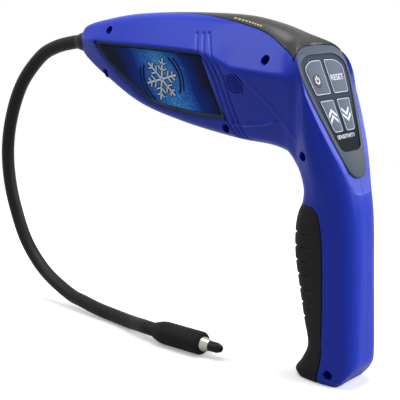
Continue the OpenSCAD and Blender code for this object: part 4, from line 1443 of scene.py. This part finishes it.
    def dress(self) -> None:
        """Build the bezel, film, keys and signs; the signs ride on their own keys."""
        enlist(self.build_bezel(), BEZEL, "bezel_grey", "keypad_bezel")
        enlist(self.build_film(), OVERLAY, "bezel_grey")
        keys = {"power_key": UPPER_KEY * OTHER_SIDE, "reset_key": UPPER_KEY,
                "sensitivity_up_key": LOWER_KEY * OTHER_SIDE, "sensitivity_down_key": LOWER_KEY}
        for body, line in keys.items():
            enlist(self.build_key(body + "_cap", line), KEY_FACE, "key_grey", body, body=body)
            enlist(self.build_outline(body + "_outline", line), PALE_INK, "key_grey", body=body)
        for piece, ink in self.power_sign():
            enlist(piece, ink, "key_grey", body="power_key")
        reset = self.words("reset_word", "RESET", (18.6, 11.1), (14.2, 3.9), self.rise)
        enlist(reset, INK, "key_grey", body="reset_key")
        enlist(self.chevrons("up_arrows", 42.4, -7.9, 1), INK, "key_grey", body="sensitivity_up_key")
        enlist(self.chevrons("down_arrows", 44.4, 7.9, -1), INK, "key_grey", body="sensitivity_down_key")
        enlist(self.words("sensitivity_word", "SENSITIVITY", (57.3, 0.0), (20.4, 2.6), self.film), INK, "bezel_grey")


# Side window


@dataclass
class SideWindow:
    """Bevelled frame and printed panel in the left side, with a plain frost design."""

    depth: float = 2.6
    frame_w: float = 3.6
    frame_t: float = 1.6
    panel_t: float = 0.8
    crystal: Point2 = (-6.0, -1.0)
    lean: float = 14.0
    arm: float = 15.5
    arm_half: float = 0.8
    twig_half: float = 0.6
    twigs: tuple[Point2, ...] = ((0.42, 5.0), (0.72, 3.6))
    twig_turn: float = 58.0
    arcs: tuple[Point3, ...] = ((18.6, 0.95, 44), (21.8, 0.75, 34))

    def build_frame(self) -> Obj:
        """Ring whose inner face slopes down to the panel."""
        low = -self.depth
        within_frame = window_line(-self.frame_w)
        obj = plate("window_frame", window_line(-0.02), low, low + self.frame_t, WINDOW)
        slope = plate("slope", within_frame, low + 0.2, 0.2, WINDOW, high_line=window_line(-0.5))
        combined(obj, [plate("through", within_frame, low - 1, 0, WINDOW)], Blend.CUT)
        return smoothed(combined(obj, [slope], Blend.CUT), 30)

    def build_panel(self) -> Obj:
        """Printed panel inside the frame."""
        return plate("label_panel_print", window_line(-self.frame_w), -self.depth, self.panel_t - self.depth, WINDOW)

    def bar(self, a: np.ndarray, b: np.ndarray, half: float, high: float) -> Obj:
        """A straight printed bar with a pointed end between two points."""
        way = (b - a) / math.dist(a, b)
        side = np.array([-way[1], way[0]]) * half
        line = np.array([a - side, b - side, b + way * half, b + side, a + side])
        return plate("bar", line, high - 0.02, high + 0.03, WINDOW)

    def build_crystal(self, name: str, wider: float, lift: float) -> Obj:
        """Six-armed frost crystal with two pairs of twigs on each arm.

        Args:
            name: Name of the piece.
            wider: How much wider than the plain bars its bars are, on each side.
            lift: Height above the panel.

        Returns:
            The printed crystal.
        """
        mid = np.array(self.crystal)
        made = []
        for i in range(6):
            a = math.radians(60 * i + self.lean)
            out = np.array([math.cos(a), math.sin(a)])
            # Each arm lies a hair higher than the last, so that no two faces share a plane.
            top = self.panel_t - self.depth + lift + 0.004 * i
            made.append(self.bar(mid + out * self.arm_half, mid + out * self.arm, self.arm_half + wider, top))
            for share, size in self.twigs:
                root = mid + out * self.arm * share
                for turn in (-1, 1):
                    b = a + turn * math.radians(self.twig_turn)
                    tip = root + np.array([math.cos(b), math.sin(b)]) * size
                    made.append(self.bar(root, tip, self.twig_half + wider, top))
        return joined(name, made)

    def build_arcs(self) -> Obj:
        """Dark arcs on both sides of the crystal, like spreading waves."""
        top = self.panel_t - self.depth
        made = []
        for r, half, spread in self.arcs:
            for middle in (self.lean, self.lean + 180):
                angles = np.radians(np.linspace(middle - spread, middle + spread, 28))
                ring = np.column_stack([np.cos(angles), np.sin(angles)])
                line = np.concatenate([ring * (r + half), ring[::-1] * (r - half)]) + self.crystal
                made.append(plate("arc", line, top - 0.02, top + 0.02, WINDOW))
        return joined("panel_arcs", made)

    def dress(self) -> None:
        """Build the frame, the panel and its design."""
        enlist(self.build_frame(), FRAME_GLOSS, "frame_grey", "label_frame")
        enlist(self.build_panel(), PANEL, "label_print", "label_panel")
        enlist(self.build_arcs(), NAVY_INK, "label_print")
        enlist(self.build_crystal("frost_crystal_edge", 0.7, 0.0), NAVY_INK, "label_print")
        enlist(self.build_crystal("frost_crystal", 0.0, 0.05), ICE_INK, "label_print")


# Battery


@dataclass
class BatteryDoor:
    """Cover over the cells on the right side of the grip, with a ribbed thumb hold."""

    corner: Point3 = (4.35, 17.4, 12.2)
    lean: float = 10.5
    width: float = 16.88
    height: float = 56.8
    gap: float = 0.4
    reach: float = 20.0
    rows: Point2 = (16.3, 20.6)
    ribs: int = 4
    rib_from: float = 56.5
    rib_pitch: float = 2.6
    rib: Point2 = (0.5, 0.75)
    rib_fade: tuple[float, ...] = (7.2, 8.6, 16, 17.4)

    def tool(self, gap: float, r: float) -> Obj:
        """Solid of the door's outline, made smaller by a gap, from its bed out past the grip's skin."""
        w, h = self.width - gap, self.height - gap
        line = soft([(gap, gap), (w, gap), (w, h), (gap, h)], [r] * 4, 6)
        place = placed(self.corner, (0, 0, -self.lean)) @ placed((0, 0, 0), ACROSS)
        return plate("door", line, -self.reach, 0, place)

    def recess(self) -> Obj:
        """Tool for the bed that the door lies in."""
        return self.tool(0.0, 1.6)

    def build(self) -> Obj:
        """A slice of the right half's skin, kept where the door is."""
        rings = []
        for u in FORM.rows(*self.rows, 0.45):
            sec = FORM.section(u)
            s = np.linspace(0, sec.length, 120)
            plain = sec.points(s)
            high, wide = self.rib
            levels = self.rib_from + self.rib_pitch * np.arange(self.ribs)
            lift = sum(high * ridge(plain[:, 2] - level, wide, 4) for level in levels)
            rings.append(sec.points(s, -lift * hump(plain[:, 0], *self.rib_fade)) * MIRROR)
        obj = tube("battery_cover", np.array(rings))
        return smoothed(combined(obj, [self.tool(self.gap, 1.3)], Blend.KEEP))

    def dress(self) -> None:
        """Build the door on its own body."""
        enlist(self.build(), BLUE_ABS, "housing_blue", "battery_door", body="battery_door")


# Probe


@dataclass
class Probe:
    """Gland, bendable neck and sensing head; the profiles are radius and distance along the axis."""

    neck_d: float = 10.44
    neck_flats: int = 40
    rings_per_knot: int = 14
    in_nose: Point3 = (-9, 2, 14)
    route: tuple[Point3, ...] = (
        (-261.3, 0, 208.6), (-280.5, 0, 199.8), (-303.5, 0, 178.3), (-318.5, 0, 151.1), (-326, 0, 122.3),
        (-324.3, -0.8, 94), (-315.2, -2, 67.2), (-300.1, -4, 42.7), (-275.9, -6.5, 23.1), (-244.8, -9.3, 10.9),
        (-225.6, -11.2, 8.2), (-206.6, -13, 6.2), (-188.1, -14.4, 5.34), (-167, -18.2, 5.8), (-152, -22.5, 7.6),
        (-145, -24.5, 8.3), (-139, -25, 8.4), (-132.5, -25, 8.4), (-126, -25, 8.4))
    gland: tuple[Point2, ...] = (
        (5.3, -10), (6.1, -10), (6.1, -3.4), (7.0, -3.4), (7.3, -3), (7.35, -1.6), (7.3, 3.6), (7.1, 5.2), (6.7, 6.6),
        (6.15, 8.2), (5.85, 9.4), (5.65, 10.1), (5.45, 10.3), (5.3, 10.2))
    sleeve: tuple[Point2, ...] = (
        (5.35, 0.3), (5.9, 0.3), (6.2, 0.6), (6.45, 1.4), (6.9, 2.8), (7.45, 4.6), (7.9, 6.4), (8.2, 8.2), (8.35, 10),
        (8.38, 12), (8.38, 42), (8.32, 43), (8.05, 44), (7.6, 44.7), (7.0, 45), (6.3, 45), (5.75, 44.85),
        (5.5, 44.4), (5.5, 35), (1.8, 35), (1.8, 8), (5.35, 8))
    collar: tuple[Point2, ...] = (
        (2.6, 35), (5.45, 35), (5.45, 45.2), (5.35, 45.5), (3.95, 51.1), (3.8, 51.4), (2.6, 51.4))
    tip: tuple[Point2, ...] = (
        (1.6, 46.4), (2.5, 46.4), (2.5, 51.4), (3.5, 51.4), (3.65, 51.6), (3.65, 57.4), (3.5, 58.1), (2.55, 60.9),
        (2.2, 61.3), (1.9, 61.4), (1.15, 61.4), (1, 61.2), (1, 54.4), (1.6, 54.4))

    def build_neck(self) -> Obj:
        """Round tube along the neck's route."""
        knots = np.array([*[NOSE @ Vector((0, 0, s)) for s in self.in_nose], *self.route])
        last = len(knots) - 1
        rings = []
        for u in np.linspace(0, last, self.rings_per_knot * last + 1):
            way = unit(catmull(knots, min(u + 0.05, last)) - catmull(knots, max(u - 0.05, 0)))
            side = unit(np.cross(way, (0, 1, 0)))
            across = np.array([side, np.cross(side, way)])
            rings.append(catmull(knots, u) + circle(self.neck_d, self.neck_flats) @ across)
        return smoothed(tube("bendable_neck", np.array(rings)), 50)

    def dress(self) -> None:
        """Build the gland, neck, sleeve, collar and tip."""
        enlist(smoothed(turned("nose_gland_ring", self.gland, NOSE)), BLACK_ABS, "black_plastic", "nose_gland")
        enlist(self.build_neck(), NECK_RUBBER, "neck_rubber", "gooseneck")
        for name, profile, flats, sharp, finish, slot, node in (
                ("probe_sleeve_boot", self.sleeve, 96, 50, SLEEVE_RUBBER, "neck_rubber", "probe_sleeve"),
                ("turned_collar", self.collar, 96, 35, ALUMINIUM, "collar_aluminium", "probe_collar"),
                ("tip_cap", self.tip, 72, 35, BLACK_ABS, "black_plastic", "probe_tip")):
            enlist(smoothed(turned(name, profile, HEAD, flats), sharp), finish, slot, node)


@dataclass
class Insides:
    """CAD pieces inside the housing that keep their own meshes and get finishes."""

    finishes: dict[str, Finish] = field(default_factory=lambda: {
        "keypad_board": BOARD, "key_domes": NICKEL, "main_board": BOARD, "board_parts": BLACK_ABS, "buzzer": BLACK_ABS,
        "indicator_leds": LED, "battery_cells": CELL, "battery_springs": NICKEL, "battery_contact": NICKEL,
        "sensor_element": NICKEL})

    def dress(self) -> None:
        """Give each kept CAD piece its finish."""
        for name, finish in self.finishes.items():
            finish.dress(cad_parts[name])
            LOG.info("%s: kept from the frame", name)


# Studio


@dataclass
class Studio:
    """Pale floor, soft light and the camera at the photograph's place, in metres and watts."""

    camera_at: Point3 = (0.3397, -0.5395, 0.2546)
    aim: Point3 = (-0.113, 0.0, 0.1049)
    lens: float = 90.0
    floor_r: float = 1.6
    floor_at: Point3 = (-0.15, 0, -0.0004)
    floor_fade: Point2 = (0.35, 0.75)
    fill: float = 0.12
    lamps: tuple[tuple[str, Point3, float, float], ...] = (
        ("top_softbox", (-0.1, 0.05, 1.25), 0.8, 14.0),
        ("left_softbox", (-0.75, -0.62, 1.15), 0.6, 6.0),
        ("right_softbox", (1.25, 0.3, 0.65), 0.8, 16.0),
        ("back_softbox", (0.65, 1.15, 0.62), 0.7, 8.0))

    def build_floor(self) -> None:
        """Round pale floor that keeps the shadow and fades to the white background at its edge."""
        bpy.ops.object.select_all(action="DESELECT")
        bpy.ops.mesh.primitive_circle_add(vertices=96, radius=self.floor_r, fill_type="NGON", location=self.floor_at)
        floor = started("studio_floor")
        made = bpy.data.materials.new("pale_studio_floor")
        made.use_nodes = True
        tree = made.node_tree
        tree.nodes.clear()
        place = add(tree, "TexCoord").outputs["Object"]
        away = add(tree, "VectorMath", {0: place}, operation="LENGTH").outputs["Value"]
        low, high = self.floor_fade
        fade = add(tree, "MapRange", {"Value": away, "From Min": low, "From Max": high})
        path = add(tree, "LightPath").outputs
        camera, glossy = path["Is Camera Ray"], path["Is Glossy Ray"]
        seen = add(tree, "Math", {0: camera, 1: glossy}, operation="MAXIMUM")
        white = add(tree, "Math", {0: seen, 1: fade}, operation="MULTIPLY")
        paint = add(tree, "BsdfDiffuse", {"Color": "#F4F4F4"})
        dim = add(tree, "BsdfDiffuse", {"Color": "#A6A6A6"})
        lift = add(tree, "Emission", {"Color": "#FFFFFF", "Strength": 0.32})
        lifted = add(tree, "AddShader", {0: paint, 1: lift})
        share = add(tree, "Math", {0: glossy, 1: 0.4, 2: camera}, operation="MULTIPLY_ADD", use_clamp=True)
        plain = add(tree, "MixShader", {0: share, 1: dim, 2: lifted})
        clear = add(tree, "Emission", {"Color": "#FFFFFF", "Strength": 1.0})
        add(tree, "OutputMaterial", {"Surface": add(tree, "MixShader", {0: white, 1: plain, 2: clear})})
        floor.data.materials.append(made)

    def build_world(self) -> None:
        """White where it is seen or mirrored, and a plain grey-white fill for light."""
        world = bpy.data.worlds.new("soft_studio")
        bpy.context.scene.world = world
        world.use_nodes = True
        tree = world.node_tree
        tree.nodes.clear()
        path = add(tree, "LightPath").outputs
        seen = path["Is Camera Ray"]
        for ray in ("Is Transmission Ray", "Is Glossy Ray"):
            seen = add(tree, "Math", {0: seen, 1: path[ray]}, operation="MAXIMUM")
        fill = add(tree, "Background", {"Color": "#F3F5FA", "Strength": self.fill})
        white = add(tree, "Background", {"Color": "#FFFFFF", "Strength": 1.0})
        add(tree, "OutputWorld", {"Surface": add(tree, "MixShader", {0: seen, 1: fill, 2: white})})

    def aimed(self, at: Point3) -> Euler:
        """Turn that points a lamp or camera at the middle of the part."""
        return (Vector(self.aim) - Vector(at)).to_track_quat("-Z", "Y").to_euler()

    def build_lamps(self) -> None:
        """Large soft lamps, each aimed at the middle of the part."""
        for name, at, size, power in self.lamps:
            bpy.ops.object.light_add(type="AREA", location=at, rotation=self.aimed(at))
            lamp = bpy.context.active_object
            lamp.name = name
            lamp.data.shape, lamp.data.size, lamp.data.energy = "DISK", size, power

    def build_camera(self) -> None:
        """Camera at the photograph's place."""
        bpy.ops.object.camera_add(location=self.camera_at, rotation=self.aimed(self.camera_at))
        camera = bpy.context.active_object
        camera.data.lens, camera.data.sensor_width = self.lens, 36.0
        camera.data.clip_start, camera.data.clip_end = 0.01, 50.0
        bpy.context.scene.camera = camera

    def dress(self) -> None:
        """Set the stage."""
        bpy.context.scene.view_settings.view_transform = "Standard"
        self.build_camera()
        self.build_world()
        self.build_floor()
        self.build_lamps()


def main() -> None:
    """Build every sub-assembly in order."""
    logging.basicConfig(level=logging.INFO, format="%(name)s: %(message)s")
    housing = Housing()
    screws = HousingScrews(housing.wells, housing.seat)
    for assembly in (Studio(), Probe(), housing, screws, GripPad(), CrownWindow(), Keypad(), SideWindow(),
                     BatteryDoor(), Insides()):
        assembly.dress()


if __name__ == "__main__":
    main()
